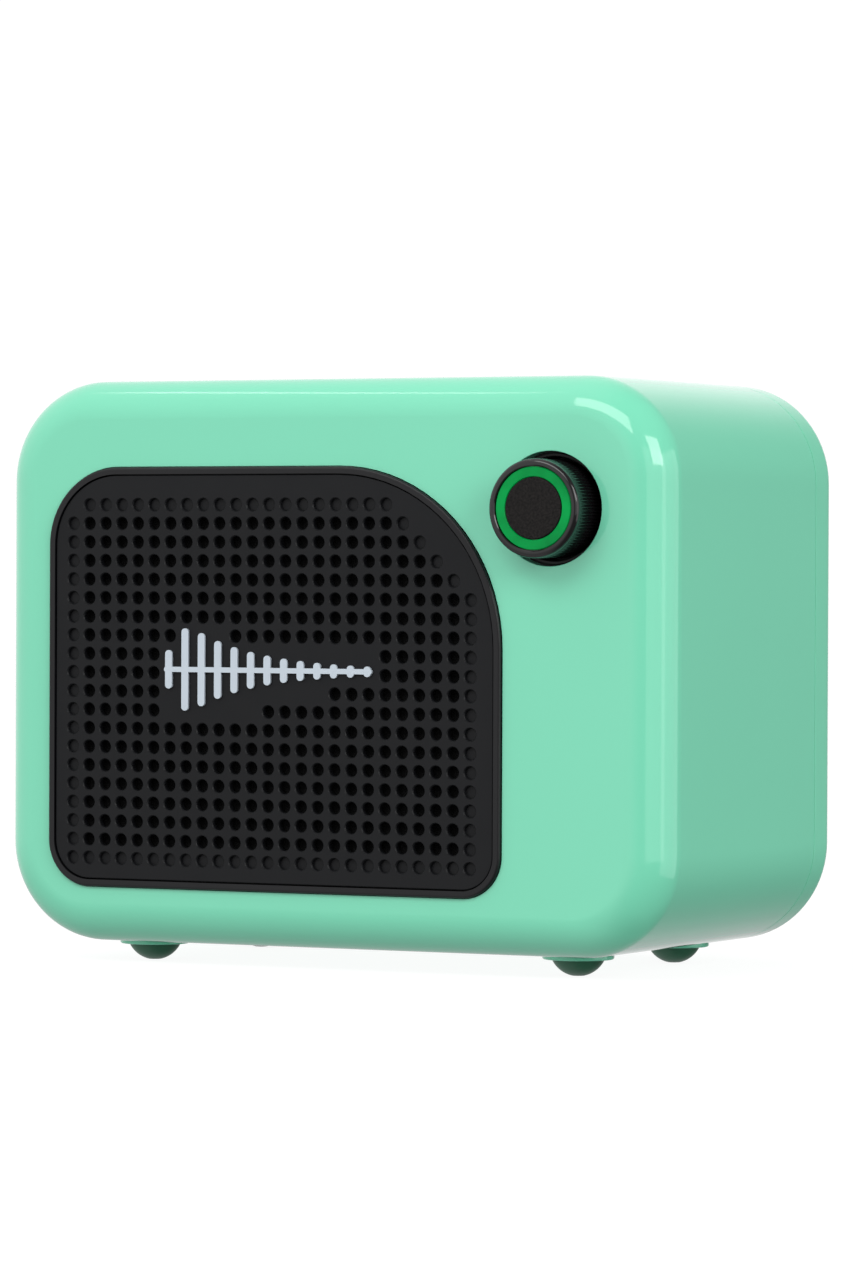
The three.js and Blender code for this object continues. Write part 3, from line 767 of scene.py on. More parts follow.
@dataclass
class Housing:
    """The glossy shell in two parts, with everything moulded into them."""

    corner: float = 19.5 * MM
    front_fillet: float = 7.8 * MM
    rear_fillet: float = 4.0 * MM
    wall: float = 2.6 * MM
    front_wall: float = 2.8 * MM
    edge: float = 0.15 * MM
    sharp: float = 28.0
    seam_shift: float = 0.13 * MM
    seam_gap: float = 0.14 * MM
    knob_clearance: float = 1.5 * MM
    knob_lip: float = 0.15 * MM
    lip_slope: float = 20.0
    grille_radii: tuple[float, float, float, float] = (15 * MM, 34.5 * MM, 8 * MM, 9 * MM)
    pocket_gap: float = 0.15 * MM
    pocket_depth: float = 0.3 * MM
    baffle: float = 2.5 * MM
    post_radius: float = 3.8 * MM
    post_root: float = 5 * MM
    post_tip: float = 4 * MM
    pilot_radius: float = 1.55 * MM
    pilot_end: float = 16 * MM
    speaker_opening: float = 31.5 * MM
    foot_boss: float = 6.85 * MM
    foot_boss_edge: float = 0.35 * MM
    foot_boss_root: float = 1.5 * MM
    foot_gap: float = 0.3 * MM
    foot_seat: float = 0.7 * MM
    foot_hole: float = 1.9 * MM
    tongue_gap: float = 0.3 * MM
    tongue_inside: float = 1.7 * MM
    tongue_end: float = 2.4 * MM
    tongue_foot_end: float = 2.6 * MM
    collar_inside: float = 0.3 * MM
    collar_outside: float = 2 * MM
    collar_height: float = 4.6 * MM
    screw_boss: float = 3 * MM
    screw_boss_foot: float = 4.6 * MM
    screw_boss_reach: float = 1.1 * MM
    screw_boss_shoulder: float = 3 * MM
    screw_hole: float = 1.7 * MM
    head_hole: float = 3.3 * MM
    head_seat: float = 0.9 * MM
    slots_each_side: int = 3
    slot_pitch: float = 6.2 * MM
    slot_width: float = 3.2 * MM
    slot_reach: float = 25.0 * MM
    bay_radius: float = 2.5 * MM
    bay_depth: float = 3.2 * MM
    bay_wall: float = 2.2 * MM
    bay_floor: float = 2.4 * MM
    bay_past_jack: float = 2.3 * MM
    bay_past_switch: float = 2.5 * MM
    bay_above_jack: float = 3.7 * MM
    bay_below_board: float = 1 * MM
    input_hole: float = 4.9 * MM
    phones_hole: float = 3.2 * MM

    def __post_init__(self) -> None:
        """Reads the housing's own sizes from the frame."""
        self.shell = Extent.of("front_shell")
        self.cover = Extent.of("rear_cover")
        self.rim = Extent.of("grille_trim_ring")
        self.knob = Extent.of("knob_body")
        self.speaker = Extent.of("speaker_basket")
        self.radiator = Extent.of("radiator_ring")
        self.seam = self.shell.high.y + self.seam_shift

    def outline(self, inset: float = 0.0) -> Outline:
        """Returns the body's outline, or one inside it."""
        return Outline.of(self.cover, (self.corner,) * 4).inset(inset)

    def grille_outline(self, inset: float = 0.0) -> Outline:
        """Returns the outline of the grille's opening, or one inside it."""
        return Outline.of(self.rim, self.grille_radii).inset(inset)

    def screw_places(self) -> list[tuple[float, float]]:
        """Returns the x and z of the rear cover's screws."""
        return [Extent.of(f"rear_cover_screw_{number}").axis for number in (1, 2, 3, 4)]

    def foot_boxes(self) -> list[Extent]:
        """Returns the boxes of the four feet."""
        return [Extent.of(f"foot_{name}") for name in FEET]

    def front_shell(self) -> bpy.types.Object:
        """Builds the front shell: a deep cup with a pocket, a hole for the knob and foot bosses."""
        front, end = self.shell.low.y, self.seam
        skin = new_plate(self.outline(), front, end, segments=20)
        round_rim(skin, front, self.front_fillet, segments=12)
        round_rim(skin, end, self.edge, segments=2)
        piece = settle(skin, "shell_front")
        inner_front = front + self.front_wall
        room = new_plate(self.outline(self.wall), inner_front, end + 20 * MM)
        round_rim(room, inner_front, self.front_fillet - self.wall, segments=5)
        carve(piece, room, Carve.REMOVE)
        baffle_front = self.rim.high.y + self.pocket_depth
        block = new_plate(self.grille_outline(-self.wall), front + PAST, baffle_front + self.baffle)
        carve(piece, block, Carve.ADD)
        self.add_stands(piece, front, end)
        self.cut_openings(piece, front, baffle_front)
        self.cut_foot_sockets(piece)
        return dress(piece, GLOSS_ABS, HOUSING, ("front_shell",), sharp=self.sharp)

    def add_stands(self, piece: bpy.types.Object, front: float, end: float) -> None:
        """Adds the bored posts that take the cover's screws, and the round bosses that the feet stand in.

        Args:
            piece: The front shell.
            front: The y of the front face.
            end: The y of the shell's rear edge.
        """
        root, tip, drilled = front + self.post_root, end - self.post_tip, end - self.pilot_end
        outer, pilot = self.post_radius, self.pilot_radius
        post = [(0, root), (outer, root), (outer, tip), (pilot, tip), (pilot, drilled), (0, drilled)]
        posts = bmesh.new()
        for place in self.screw_places():
            add_turned(posts, post, place, 24)
        carve(piece, posts, Carve.ADD)
        bottom, top = self.shell.low.z, self.cover.low.z + self.foot_boss_root
        radius, edge = self.foot_boss, self.foot_boss_edge
        rounding = arc((radius - edge, bottom + edge), edge, -90, 0, 3)
        bosses = bmesh.new()
        for box in self.foot_boxes():
            add_upright(bosses, [(0, bottom), *rounding, (radius, top), (0, top)], box.centre)
        carve(piece, bosses, Carve.ADD)

    def cut_openings(self, piece: bpy.types.Object, front: float, baffle_front: float) -> None:
        """Cuts the grille's pocket and the holes of the speaker and the knob.

        Args:
            piece: The front shell.
            front: The y of the front face.
            baffle_front: The y of the pocket's floor.
        """
        outline = self.grille_outline(-self.pocket_gap)
        carve(piece, new_plate(outline, front - FAR_PAST, baffle_front, segments=20), Carve.REMOVE)
        back = baffle_front + 2 * self.baffle
        speaker_hole = bmesh.new()
        add_rod(speaker_hole, self.speaker.axis, self.speaker_opening, front + PAST, back, 72)
        carve(piece, speaker_hole, Carve.REMOVE)
        # The knob's hole opens into a rounded lip, and its tool flares on from there clear of the face.
        hole = self.knob.radius + self.knob_clearance
        lip, slope, ahead = self.knob_lip, math.radians(self.lip_slope), 2 * MM
        flare = hole + lip * (1 - math.sin(slope)) + (ahead + lip * (1 - math.cos(slope))) / math.tan(slope)
        profile = [
            (0, front - ahead),
            (flare, front - ahead),
            *arc((hole + lip, front + lip), lip, 270 - self.lip_slope, 180, 5),
            (hole, back),
            (0, back),
        ]
        carve(piece, new_turned(profile, self.knob.axis, 96), Carve.REMOVE)

    def cut_foot_sockets(self, piece: bpy.types.Object) -> None:
        """Cuts the seat of each foot and the hole for its stem.

        Args:
            piece: The front shell.
        """
        floor, top = self.shell.low.z, self.cover.low.z + self.wall
        sockets = bmesh.new()
        for box in self.foot_boxes():
            radius = box.radius + self.foot_gap
            profile = [
                (0, floor - PAST),
                (radius, floor - PAST),
                (radius, floor + self.foot_seat),
                (self.foot_hole, floor + self.foot_seat),
                (self.foot_hole, top + PAST),
                (0, top + PAST),
            ]
            add_upright(sockets, profile, box.centre)
        carve(piece, sockets, Carve.REMOVE)

    def rear_cover(self) -> bpy.types.Object:
        """Builds the rear cover: a shallow cup with slots, a socket bay, a collar and screw holes."""
        start, back = self.seam + self.seam_gap, self.cover.high.y
        inner = back - self.wall
        skin = new_plate(self.outline(), start, back, segments=20)
        round_rim(skin, back, self.rear_fillet, segments=8)
        round_rim(skin, start, self.edge, segments=2)
        piece = settle(skin, "shell_rear")
        room = new_plate(self.outline(self.wall), start - FAR_PAST, inner)
        round_rim(room, inner, self.rear_fillet - self.wall, segments=3)
        carve(piece, room, Carve.REMOVE)
        self.add_tongue(piece, start, inner)
        self.add_inside(piece, inner)
        self.cut_bay(piece, back)
        self.cut_holes(piece, back, inner)
        return dress(piece, GLOSS_ABS, HOUSING, ("rear_cover",), sharp=self.sharp)

    def add_tongue(self, piece: bpy.types.Object, start: float, inner: float) -> None:
        """Adds the tongue that reaches into the front shell, and the foot that ties it to the cover's wall.

        Args:
            piece: The rear cover.
            start: The y of its front edge.
            inner: The y of its inner face.
        """
        tip, gap = self.cover.low.y, self.tongue_gap
        lug = settle(new_plate(self.outline(self.wall + gap), tip, start + self.tongue_end), "tongue")
        foot = new_plate(self.outline(self.wall - gap), start + gap, start + self.tongue_foot_end)
        carve(lug, foot, Carve.ADD)
        hollow = new_plate(self.outline(self.wall + self.tongue_inside), tip - PAST, inner)
        carve(lug, hollow, Carve.REMOVE)
        ring = bmesh.new()
        ring.from_mesh(lug.data)
        bpy.data.objects.remove(lug)
        carve(piece, ring, Carve.ADD)

    def add_inside(self, piece: bpy.types.Object, inner: float) -> None:
        """Adds the radiator's collar, the screw bosses and the bay's wall.

        Args:
            piece: The rear cover.
            inner: The y of its inner face.
        """
        outer, sunk = self.radiator.radius, inner + PAST
        tip = inner - self.collar_height
        collar = [
            (outer + self.collar_inside, tip),
            (outer + self.collar_outside, tip),
            (outer + self.collar_outside, sunk),
            (outer + self.collar_inside, sunk),
        ]
        added = new_turned(collar, self.radiator.axis, 72)
        reach, shoulder = self.cover.low.y - self.screw_boss_reach, inner - self.screw_boss_shoulder
        thin, wide = self.screw_boss, self.screw_boss_foot
        boss = [(0, reach), (thin, reach), (thin, shoulder), (wide, shoulder), (wide, sunk), (0, sunk)]
        for place in self.screw_places():
            add_turned(added, boss, place, 24)
        carve(piece, added, Carve.ADD)
        floor = self.cover.high.y - self.bay_depth
        bay = new_plate(self.bay_outline(-self.bay_wall), floor - self.bay_floor, sunk, segments=6)
        carve(piece, bay, Carve.ADD)

    def bay_outline(self, inset: float = 0.0) -> Outline:
        """Returns the outline of the socket bay, which spans the sockets and starts at the board.

        Args:
            inset: How far inside the bay's edge the outline runs.

        Returns:
            The outline.
        """
        jack, switch = Extent.of("input_jack"), Extent.of("power_switch_body")
        left, right = jack.low.x - self.bay_past_jack, switch.high.x + self.bay_past_switch
        bottom = Extent.of("main_board").high.z - self.bay_below_board
        top = jack.high.z + self.bay_above_jack
        return Outline(left, right, bottom, top, (self.bay_radius,) * 4).inset(inset)

    def cut_bay(self, piece: bpy.types.Object, back: float) -> None:
        """Cuts the socket bay into the rear cover.

        Args:
            piece: The rear cover.
            back: The y of its rear face.
        """
        bay = new_plate(self.bay_outline(), back - self.bay_depth, back + FAR_PAST, segments=8)
        carve(piece, bay, Carve.REMOVE)

    def cut_holes(self, piece: bpy.types.Object, back: float, inner: float) -> None:
        """Cuts the sockets' holes, the radiator's slots and the screws' holes.

        Args:
            piece: The rear cover.
            back: The y of its rear face.
            inner: The y of its inner face.
        """
        near, beyond = back - self.bay_depth - 8 * MM, back + FAR_PAST
        holes = bmesh.new()
        add_rod(holes, Extent.of("input_jack").axis, self.input_hole, near, beyond, 40)
        add_rod(holes, Extent.of("headphone_jack").axis, self.phones_hole, near, beyond, 32)
        # Half width, half height and corner radius of each flat socket's opening.
        openings = {
            "usb_port": (4.9 * MM, 2.0 * MM, 1.9 * MM),
            "power_switch_body": (3.4 * MM, 1.3 * MM, 0.8 * MM),
        }
        for node, (half_width, half_height, radius) in openings.items():
            opening = Outline.around(Extent.of(node).axis, half_width, half_height, radius)
            add_plate(holes, opening, near, beyond, 6)
        x, z = self.radiator.axis
        for step in range(-self.slots_each_side, self.slots_each_side + 1):
            middle = x + step * self.slot_pitch
            half = math.sqrt(self.slot_reach**2 - (middle - x) ** 2)
            wide = self.slot_width / 2
            slot = Outline.around((middle, z), wide, half, wide * 0.94)
            add_plate(holes, slot, inner - 2 * MM, beyond, 6)
        seat, thin, wide = inner - self.head_seat, self.screw_hole, self.head_hole
        screw = [(0, 0), (thin, 0), (thin, seat), (wide, seat), (wide, beyond), (0, beyond)]
        for place in self.screw_places():
            add_turned(holes, screw, place, 32)
        carve(piece, holes, Carve.REMOVE)

    def build(self) -> None:
        """Builds both halves of the housing."""
        self.front_shell()
        self.rear_cover()


class Hole(Enum):
    """The kinds of place in the grille's grid."""

    NONE = "none"
    BLIND = "blind"
    THROUGH = "through"


@dataclass
class Grille:
    """The rim, the perforated panel, the cloth behind it and the mark on it."""

    housing: Housing
    rim_width: float = 1.35 * MM
    rim_edge: float = 0.5 * MM
    panel_edge: float = 0.25 * MM
    groove: float = 0.2 * MM
    pitch: float = 3.6 * MM
    grid_x: float = -11.51 * MM
    grid_z: float = 54.65 * MM
    columns: int = 25
    rows: int = 20
    mouth: float = 1.4 * MM
    bore: float = 1.22 * MM
    chamfer: float = 0.22 * MM
    dimple: float = 0.85 * MM
    ledge_gap: float = 0.8 * MM
    ledge_width: float = 2.2 * MM
    mark_z: float = 57.2 * MM
    mark_height: float = 7.4 * MM
    mark_decay: float = 14.0 * MM
    mark_columns: int = 6
    bar_half_width: float = 0.75 * MM
    spine_half_height: float = 0.5 * MM

    def kind(self, column: int, row: int) -> Hole:
        """Says what stands at a place of the grid.

        Args:
            column: 1 at the left.
            row: 1 at the top.

        Returns:
            A through hole, a blind dimple at the edges, or nothing under the mark and the round corner.
        """
        # The last through hole steps one column further out in each row, along the round corner.
        first, last = 2, min(18 + row, self.columns - 1)
        # Rows that the mark covers, each with its first and last covered column.
        marked = {8: (8, 10), 9: (7, 19), 10: (7, 19), 11: (7, 16), 12: (7, 12)}
        low, high = marked.get(row, (1, 0))
        if low <= column <= high:
            return Hole.NONE
        if row == self.rows:
            return Hole.BLIND
        if row == 1:
            return Hole.BLIND if first <= column <= last + 1 else Hole.NONE
        if first <= column <= last:
            return Hole.THROUGH
        return Hole.BLIND if column in (1, last + 1) else Hole.NONE

    def rim(self) -> bpy.types.Object:
        """Builds the rim, with the ledge that carries the panel and the cloth."""
        front, back = self.housing.rim.low.y, self.housing.rim.high.y
        body = new_plate(self.housing.grille_outline(), front, back, segments=20)
        round_rim(body, front, self.rim_edge)
        piece = settle(body, "grille_rim")
        ledge = Extent.of("grille_panel").high.y + self.ledge_gap
        outline = self.housing.grille_outline(self.rim_width)
        carve(piece, new_plate(outline, front - PAST, ledge, segments=20), Carve.REMOVE)
        outline = self.housing.grille_outline(self.rim_width + self.ledge_width)
        carve(piece, new_plate(outline, ledge - PAST, back + PAST, segments=20), Carve.REMOVE)
        return dress(piece, RIM_ABS, HOUSING, ("grille_trim_ring",))

    def panel(self) -> bpy.types.Object:
        """Builds the panel and drills its grid of countersunk holes and dimples."""
        box = Extent.of("grille_panel")
        outline = self.housing.grille_outline(self.rim_width + self.groove)
        plate = new_plate(outline, box.low.y, box.high.y, segments=16)
        round_rim(plate, box.low.y, self.panel_edge, segments=3)
        piece = settle(plate, "grille_perforated")
        drill = bmesh.new()
        for row in range(1, self.rows + 1):
            for column in range(1, self.columns + 1):
                kind = self.kind(column, row)
                if kind is not Hole.NONE:
                    self.add_drill(drill, kind, column, row, box)
        carve(piece, drill, Carve.REMOVE)
        return dress(piece, SATIN_ABS, HOUSING, ("grille_panel",), sharp=20)

    def add_drill(
        self, bm: bmesh.types.BMesh, kind: Hole, column: int, row: int, box: Extent
    ) -> None:
        """Adds the solid that cuts one hole.

        Args:
            bm: The mesh that it is added to.
            kind: Through or blind.
            column: The hole's column.
            row: The hole's row.
            box: The panel's box.
        """
        x = self.grid_x + (column - (self.columns + 1) / 2) * self.pitch
        z = self.grid_z + ((self.rows + 1) / 2 - row) * self.pitch
        end = box.high.y + PAST if kind is Hole.THROUGH else box.low.y + self.dimple
        flare = self.mouth + (self.mouth - self.bore)
        stations = [
            (box.low.y - self.chamfer, flare),
            (box.low.y + self.chamfer, self.bore),
            (end, self.bore if kind is Hole.THROUGH else self.bore - 0.1 * MM),
        ]
        facing = Matrix.Translation((x, stations[0][0], z)) @ Matrix.Rotation(math.pi / 2, 4, "X")
        made = bmesh.ops.create_circle(bm, cap_ends=True, segments=16, radius=flare, matrix=facing)
        face = made["verts"][0].link_faces[0]
        for step, ((before, wide), (after, narrow)) in enumerate(zip(stations, stations[1:])):
            grown = bmesh.ops.extrude_face_region(bm, geom=[face])["geom"]
            if step > 0:
                bmesh.ops.delete(bm, geom=[face], context="FACES_ONLY")
            face = next(g for g in grown if isinstance(g, bmesh.types.BMFace))
            move = Matrix.Translation((x, after, z)) @ Matrix.Diagonal((narrow / wide, 1, narrow / wide, 1))
            bmesh.ops.transform(bm, verts=face.verts[:], matrix=move @ Matrix.Translation((-x, -before, -z)))

    def cloth(self) -> bpy.types.Object:
        """Builds the cloth, stretched flat behind the panel."""
        box = Extent.of("dust_cloth")
        outline = self.housing.grille_outline(self.rim_width + self.groove + 0.3 * MM)
        cloth = settle(new_plate(outline, box.low.y, box.high.y, segments=8), "speaker_cloth")
        piece = dress(cloth, SPEAKER_CLOTH, HOUSING, ("dust_cloth",))
        outline.area()
        return piece

    def mark(self) -> bpy.types.Object:
        """Builds the mark: a spine with upright bars that die away, as a plucked string does."""
        box = Extent.of("grille_emblem")
        front, back = box.low.y, box.high.y
        ends = self.mark_columns
        wide, thin = self.bar_half_width, self.spine_half_height
        bars = bmesh.new()
        for column in range(-ends, ends + 1):
            x = self.grid_x + column * self.pitch
            past = (column + ends - 1.5) * self.pitch
            half = self.mark_height * math.exp(-max(past, 0.0) / self.mark_decay) + thin
            if column == -ends:
                half = self.mark_height / 2
            add_plate(bars, Outline.around((x, self.mark_z), wide, half, wide * 0.95), front, back, 5)
        reach = ends * self.pitch
        spine = Outline(
            self.grid_x - reach - 1 * MM,
            self.grid_x + reach + 1 * MM,
            self.mark_z - thin,
            self.mark_z + thin,
            (thin * 0.9,) * 4,
        )
        piece = settle(new_plate(spine, front, back, segments=5), "grille_mark")
        carve(piece, bars, Carve.ADD)
        return dress(piece, SILVER_BADGE, HOUSING, ("grille_emblem",))

    def build(self) -> None:
        """Builds the four pieces of the grille."""
        self.rim()
        self.panel()
        self.cloth()
        self.mark()


@dataclass
class Knob:
    """The push-and-turn knob: ribbed body, light ring and grained disc, and the well that it stands in."""

    ribs: int = 90
    rib_depth: float = 0.34 * MM
    rib_taper: float = 0.9 * MM
    rib_start: float = 1.35 * MM
    nose: float = 0.85 * MM
    wall: float = 1.6 * MM
    plate: float = 2.3 * MM
    ring_gap: float = 0.15 * MM
    hub: float = 5.5 * MM
    shaft: float = 3.3 * MM
    disc_gap: float = 0.12 * MM
    ring_edge: float = 0.12 * MM
    disc_edge: float = 0.2 * MM
    collar_depth: float = 2.0 * MM
    collar_inside: float = 0.5 * MM
    collar_outside: float = 1.2 * MM
    well_wall: float = 1.2 * MM
    well_seat: float = 3.1 * MM
    bushing_hole: float = 3.9 * MM

    def __post_init__(self) -> None:
        """Reads the knob's own sizes from the frame."""
        self.box = Extent.of("knob_body")
        self.ring = Extent.of("knob_light_ring")
        self.disc = Extent.of("knob_centre_disc")
        self.radius = self.box.radius
        self.centre = self.box.axis

    def body(self) -> bpy.types.Object:
        """Builds the knob's turned body: rounded nose, recess for the ring, skirt and hub."""
        front, back = self.box.low.y, self.box.high.y
        radius, core = self.radius, self.radius - self.rib_depth - 0.1 * MM
        recess = self.ring.high.y + 0.3 * MM
        face = self.ring.radius + self.ring_gap
        profile = [
            (0, recess),
            (face, recess),
            (face, front + self.ring_gap),
            (face + self.ring_gap, front),
            *arc((radius - self.nose, front + self.nose), self.nose, -90, 0, 8),
            (radius, front + self.rib_start - 0.1 * MM),
            (core, front + self.rib_start),
            (core, back),
            (core - self.wall, back),
            (core - self.wall, recess + self.plate),
            (self.hub, recess + self.plate),
            (self.hub, back),
            (self.shaft, back),
            (self.shaft, recess + 1 * MM),
            (0, recess + 1 * MM),
        ]
        bm = new_turned(profile, self.centre, 96)
        return dress(settle(bm, "knob_turned_body"), KNOB_GLOSS, KNOB_BODY, ("knob_body",))

    def sleeve(self) -> bpy.types.Object:
        """Builds the ribbed sleeve around the knob's side."""
        front, back = self.box.low.y + self.rib_start + 0.05 * MM, self.box.high.y
        x, z = self.centre
        core = self.radius - self.rib_depth
        # Each rib is a crest, a slope, a groove and a slope.
        parts_in_rib = 4
        place = Matrix.Translation((x, back, z)) @ Matrix.Rotation(math.pi / 2, 4, "X")
        bm = bmesh.new()
        ring = bmesh.ops.create_circle(
            bm, cap_ends=False, segments=self.ribs * parts_in_rib, radius=self.radius, matrix=place
        )["verts"]
        ring.sort(key=lambda v: math.atan2(v.co.z - z, v.co.x - x))
        about = Matrix.Translation((-x, 0, -z))
        for offset, depth in ((1, 0.5), (2, 1.0), (3, 0.5)):
            share = (self.radius - depth * self.rib_depth) / self.radius
            bmesh.ops.scale(bm, vec=(share, 1, share), space=about, verts=ring[offset::parts_in_rib])
        rims = [bm.edges[:]]
        for move in (front + self.rib_taper - back, -self.rib_taper):
            grown = bmesh.ops.extrude_edge_only(bm, edges=rims[-1])["geom"]
            moved = [g for g in grown if isinstance(g, bmesh.types.BMVert)]
            bmesh.ops.translate(bm, verts=moved, vec=(0, move, 0))
            rims.append([g for g in grown if isinstance(g, bmesh.types.BMEdge)])
        # The ribs run out into a smooth edge at the front, and both ends close on the body under them.
        self.pull_in(moved, core + 0.02 * MM)
        for rim in (rims[0], rims[-1]):
            grown = bmesh.ops.extrude_edge_only(bm, edges=rim)["geom"]
            self.pull_in([g for g in grown if isinstance(g, bmesh.types.BMVert)], core - 0.05 * MM)
        bmesh.ops.bridge_loops(bm, edges=[e for e in bm.edges if e.is_boundary])
        return dress(settle(bm, "knob_ribbed_sleeve"), KNOB_GLOSS, KNOB_BODY, sharp=60)

    def pull_in(self, verts: list[bmesh.types.BMVert], radius: float) -> None:
        """Moves vertices straight to a radius about the knob's axis.

        Args:
            verts: The vertices.
            radius: Where they end.
        """
        middle = Vector(self.centre)
        for vert in verts:
            across = Vector((vert.co.x, vert.co.z)) - middle
            vert.co.x, vert.co.z = middle + across.normalized() * radius

    def face(self) -> None:
        """Builds the light ring and the disc, each with softened edges."""
        outer, inner = self.ring.radius, self.disc.radius + self.disc_gap
        low, high = self.ring.low.y, self.ring.high.y
        edge = self.ring_edge
        profile = [
            (inner + edge, low),
            (outer - edge, low),
            (outer, low + edge),
            (outer, high),
            (inner, high),
            (inner, low + edge),
        ]
        # The ring gives off a faint painted light of its own, which lifts its green.
        green_ring = settle(new_turned(profile, self.centre, 96), "knob_green_ring_painted_light")
        dress(green_ring, GREEN_ACRYLIC_PAINTED_LIGHT, KNOB_BODY, ("knob_light_ring",))
        radius, edge = self.disc.radius, self.disc_edge
        low, high = self.disc.low.y, self.disc.high.y
        profile = [
            (0, low),
            (radius - edge - 0.05 * MM, low),
            *arc((radius - edge, low + edge), edge, -90, 0, 4),
            (radius, high),
            (0, high),
        ]
        disc = settle(new_turned(profile, self.centre, 96), "knob_grained_disc")
        dress(disc, KNOB_GRAIN, KNOB_BODY, ("knob_centre_disc",))

    def well(self) -> bpy.types.Object:
        """Builds the black cup behind the hole, with the opening for the encoder's bushing."""
        box = Extent.of("knob_well")
        collar, inside = self.radius + self.collar_outside, self.radius + self.collar_inside
        front, back = box.low.y + self.collar_depth, box.high.y
        seat = Extent.of("front_shell").low.y + self.well_seat
        soft = 0.15 * MM
        outside, floor = collar + 0.4 * MM, back - self.well_wall
        profile = [
            (inside + soft, front),
            (collar - soft, front),
            (collar, front + soft),
            (collar, seat),
            (box.radius, seat),
            (box.radius, seat + self.well_wall),
            (outside, seat + self.well_wall),
            (outside, back),
            (self.bushing_hole, back),
            (self.bushing_hole, floor),
            (inside, floor),
            (inside, front + soft),
        ]
        bm = new_turned(profile, self.centre, 72)
        return dress(settle(bm, "knob_well_cup"), BLACK_PLASTIC, HOUSING, ("knob_well",))

    def build(self) -> None:
        """Builds the knob and its well."""
        self.body()
        self.sleeve()
        self.face()
        self.well()


@dataclass
class Feet:
    """Four domed rubber feet on stems."""

    flat: float = 1.2 * MM
    stem: float = 1.6 * MM
    stem_length: float = 2.6 * MM
    side: float = 0.5 * MM
    dome_steps: int = 14

    def build(self) -> None:
        """Builds the feet, each a cap of a ball with a small flat to stand on."""
        for name in FEET:
            box = Extent.of(f"foot_{name}")
            radius, top, shoulder = box.radius, box.high.z, box.high.z - self.stem_length
            rim = shoulder - self.side
            middle = (radius**2 + rim**2 - self.flat**2) / (2 * rim)
            ball = math.hypot(self.flat, middle)
            start, end = math.asin(self.flat / ball), math.asin(radius / ball)
            angles = [start + (end - start) * i / self.dome_steps for i in range(self.dome_steps + 1)]
            dome = [(ball * math.sin(a), max(middle - ball * math.cos(a), 0.0)) for a in angles]
            stem = [(radius, shoulder), (self.stem, shoulder), (self.stem, top), (0, top)]
            bm = bmesh.new()
            add_upright(bm, [(0, 0), *dome, *stem], box.centre)
            dress(settle(bm, f"rubber_foot_{name}"), FOOT_RUBBER, HOUSING, (f"foot_{name}",))


@dataclass
class Innards:
    """The pieces whose frame shape stays: each gets its finish."""

    nodes: dict[str, bpy.types.Object]

    def build(self) -> None:
        """Gives each carried-over node the finish that its name asks for."""
        for finish, starts in CARRIED_OVER.items():
            for name, node in self.nodes.items():
                if any(name == start or (start.endswith("_") and name.startswith(start)) for start in starts):
                    node.data.materials.clear()
                    node.data.materials.append(finish.material())
                    LOG.info("%s: carried over, %s", name, finish.name)


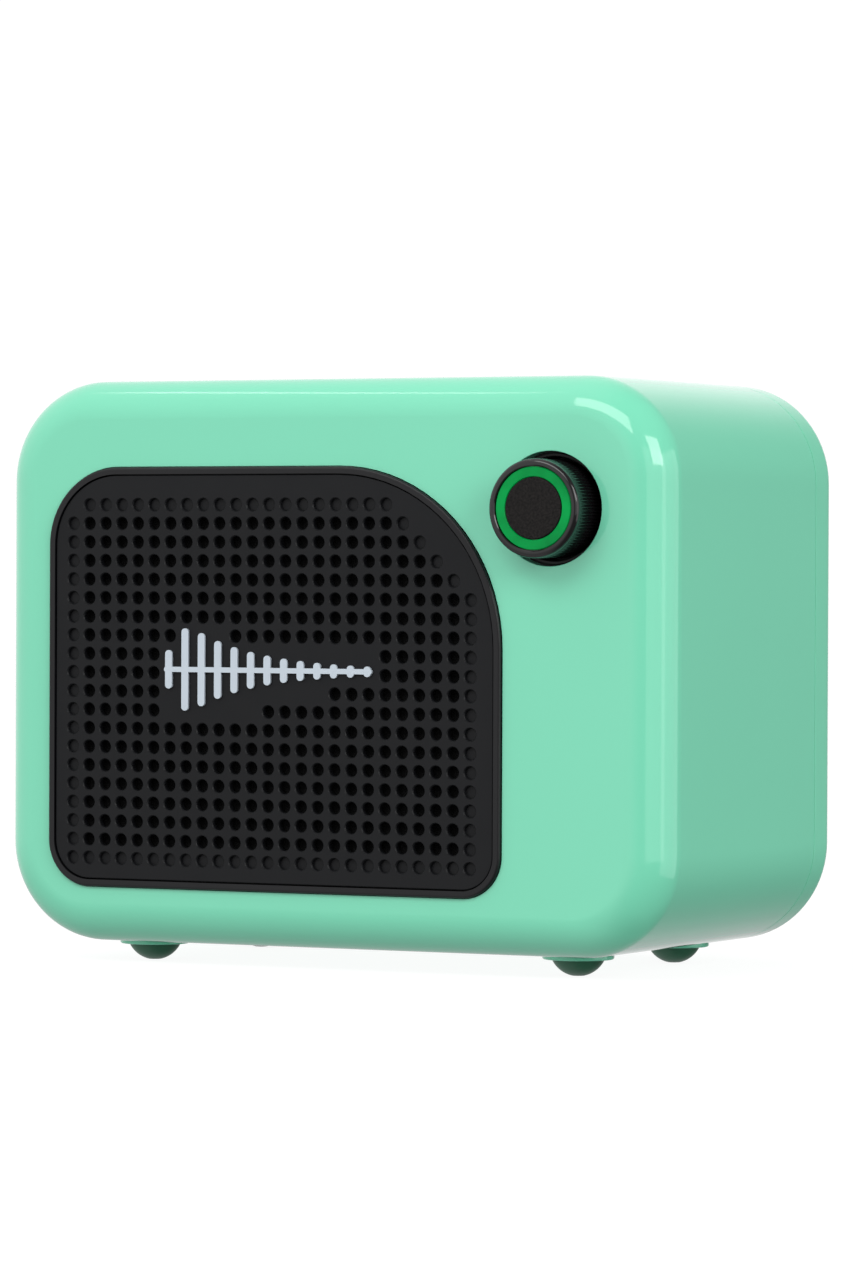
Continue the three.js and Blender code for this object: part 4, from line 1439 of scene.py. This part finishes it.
@dataclass
class Studio:
    """The pale floor, the soft lights and the camera."""

    azimuth: float = 27.26
    elevation: float = 0.68
    roll: float = 0.237
    station: tuple[float, float, float] = (513.3 * MM, -989.3 * MM, 76.05 * MM)
    lens: float = 160.3
    sensor: float = 36.0
    floor_reach: float = 20.0
    light_distance: float = 1.5
    aim_height: float = 0.09
    table_light: float = 0.93
    left_light: float = 1.05
    right_light: float = 0.3
    below_light: float = 0.6
    fade: float = 0.3

    def camera(self) -> None:
        """Places the camera level with the object, to its right."""
        data = bpy.data.cameras.new("camera")
        data.lens = self.lens
        data.sensor_width = self.sensor
        data.clip_start, data.clip_end = 0.05, 50.0
        made = bpy.data.objects.new("camera", data)
        look = Matrix.Rotation(math.radians(self.azimuth), 4, "Z")
        tilt = Matrix.Rotation(math.radians(90 - self.elevation), 4, "X")
        twist = Matrix.Rotation(math.radians(self.roll), 4, "Z")
        made.matrix_world = Matrix.Translation(self.station) @ look @ tilt @ twist
        bpy.context.scene.collection.objects.link(made)
        bpy.context.scene.camera = made

    def floor(self) -> None:
        """Lays the plain white floor: opal acrylic lit from below, so that only a faint shadow shows."""
        bm = bmesh.new()
        bmesh.ops.create_grid(bm, x_segments=1, y_segments=1, size=self.floor_reach)
        made = settle(bm, "studio_floor")
        opal = Finish(
            "opal_acrylic", "shell", "#606060", Surface.GRAINED, 0.9, ior=1.05, mottle=0.01
        ).material()
        nodes = opal.node_tree.nodes
        shader = next(node for node in nodes if node.bl_idname == "ShaderNodeBsdfPrincipled")
        shader.inputs["Emission Color"].default_value = (1, 1, 1, 1)
        shader.inputs["Emission Strength"].default_value = self.table_light
        made.data.materials.append(opal)
        made.visible_diffuse = False
        made.visible_glossy = False

    def softbox(
        self, name: str, azimuth: float, elevation: float, size: tuple[float, float], power: float
    ) -> None:
        """Hangs one rectangular soft light that faces the object.

        Args:
            name: Its name.
            azimuth: Degrees from straight in front, towards the object's right.
            elevation: Degrees above level.
            size: Its width and height in metres.
            power: Its power in watts.
        """
        data = bpy.data.lights.new(name, "AREA")
        data.shape = "RECTANGLE"
        data.size, data.size_y = size
        data.energy = power
        made = bpy.data.objects.new(name, data)
        across, up = math.radians(azimuth), math.radians(elevation)
        away = Vector((math.sin(across) * math.cos(up), -math.cos(across) * math.cos(up), math.sin(up)))
        made.location = Vector((0, 0, self.aim_height)) + self.light_distance * away
        made.rotation_mode = "QUATERNION"
        made.rotation_quaternion = (-away).to_track_quat("-Z", "Y")
        bpy.context.scene.collection.objects.link(made)

    def world(self) -> None:
        """Fills the room with white light that fades out to the object's right and below it."""
        world = bpy.data.worlds.new("studio")
        world.use_nodes = True
        tree = world.node_tree
        tree.nodes.clear()
        direction = add_node(tree, "ShaderNodeTexCoord").outputs["Generated"]
        part = add_node(tree, "ShaderNodeSeparateXYZ", {"Vector": direction}).outputs
        across = add_node(
            tree,
            "ShaderNodeMapRange",
            {
                "Value": part["X"],
                "From Min": -self.fade,
                "From Max": self.fade,
                "To Min": self.left_light,
                "To Max": self.right_light,
            },
            interpolation_type="SMOOTHSTEP",
        ).outputs["Result"]
        upward = add_node(
            tree,
            "ShaderNodeMapRange",
            {
                "Value": part["Z"],
                "From Min": -self.fade,
                "From Max": 0.0,
                "To Min": self.below_light,
                "To Max": 1.0,
            },
        ).outputs["Result"]
        strength = add_node(
            tree, "ShaderNodeMath", {0: across, 1: upward}, operation="MULTIPLY"
        ).outputs["Value"]
        shader = add_node(tree, "ShaderNodeBackground", {"Color": (1, 1, 1, 1), "Strength": strength})
        add_node(tree, "ShaderNodeOutputWorld", {"Surface": shader.outputs["Background"]})
        bpy.context.scene.world = world
        bpy.context.scene.view_settings.view_transform = "Standard"

    def build(self) -> None:
        """Sets up the whole studio."""
        self.camera()
        self.floor()
        self.world()
        self.softbox("key", azimuth=-2, elevation=41, size=(1.1, 0.58), power=7.4)
        self.softbox("side", azimuth=65, elevation=24, size=(0.75, 0.62), power=7.0)
        self.softbox("right", azimuth=102, elevation=1, size=(1.6, 1.2), power=6.2)
        for name, width in (("fill_wide", 1.5), ("fill_middle", 1.1), ("fill_narrow", 0.7)):
            self.softbox(name, azimuth=58, elevation=8, size=(width, 0.9), power=2.5 * width)
        self.softbox("strip", azimuth=-71, elevation=60, size=(0.5, 0.03), power=0.2)


def main() -> None:
    """Loads the frame and builds the amplifier and its studio."""
    logging.basicConfig(level=logging.INFO, format="%(message)s")
    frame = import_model()
    Studio().build()
    housing = Housing()
    housing.build()
    Grille(housing).build()
    Knob().build()
    Feet().build()
    Innards(frame["nodes"]).build()


if __name__ == "__main__":
    main()
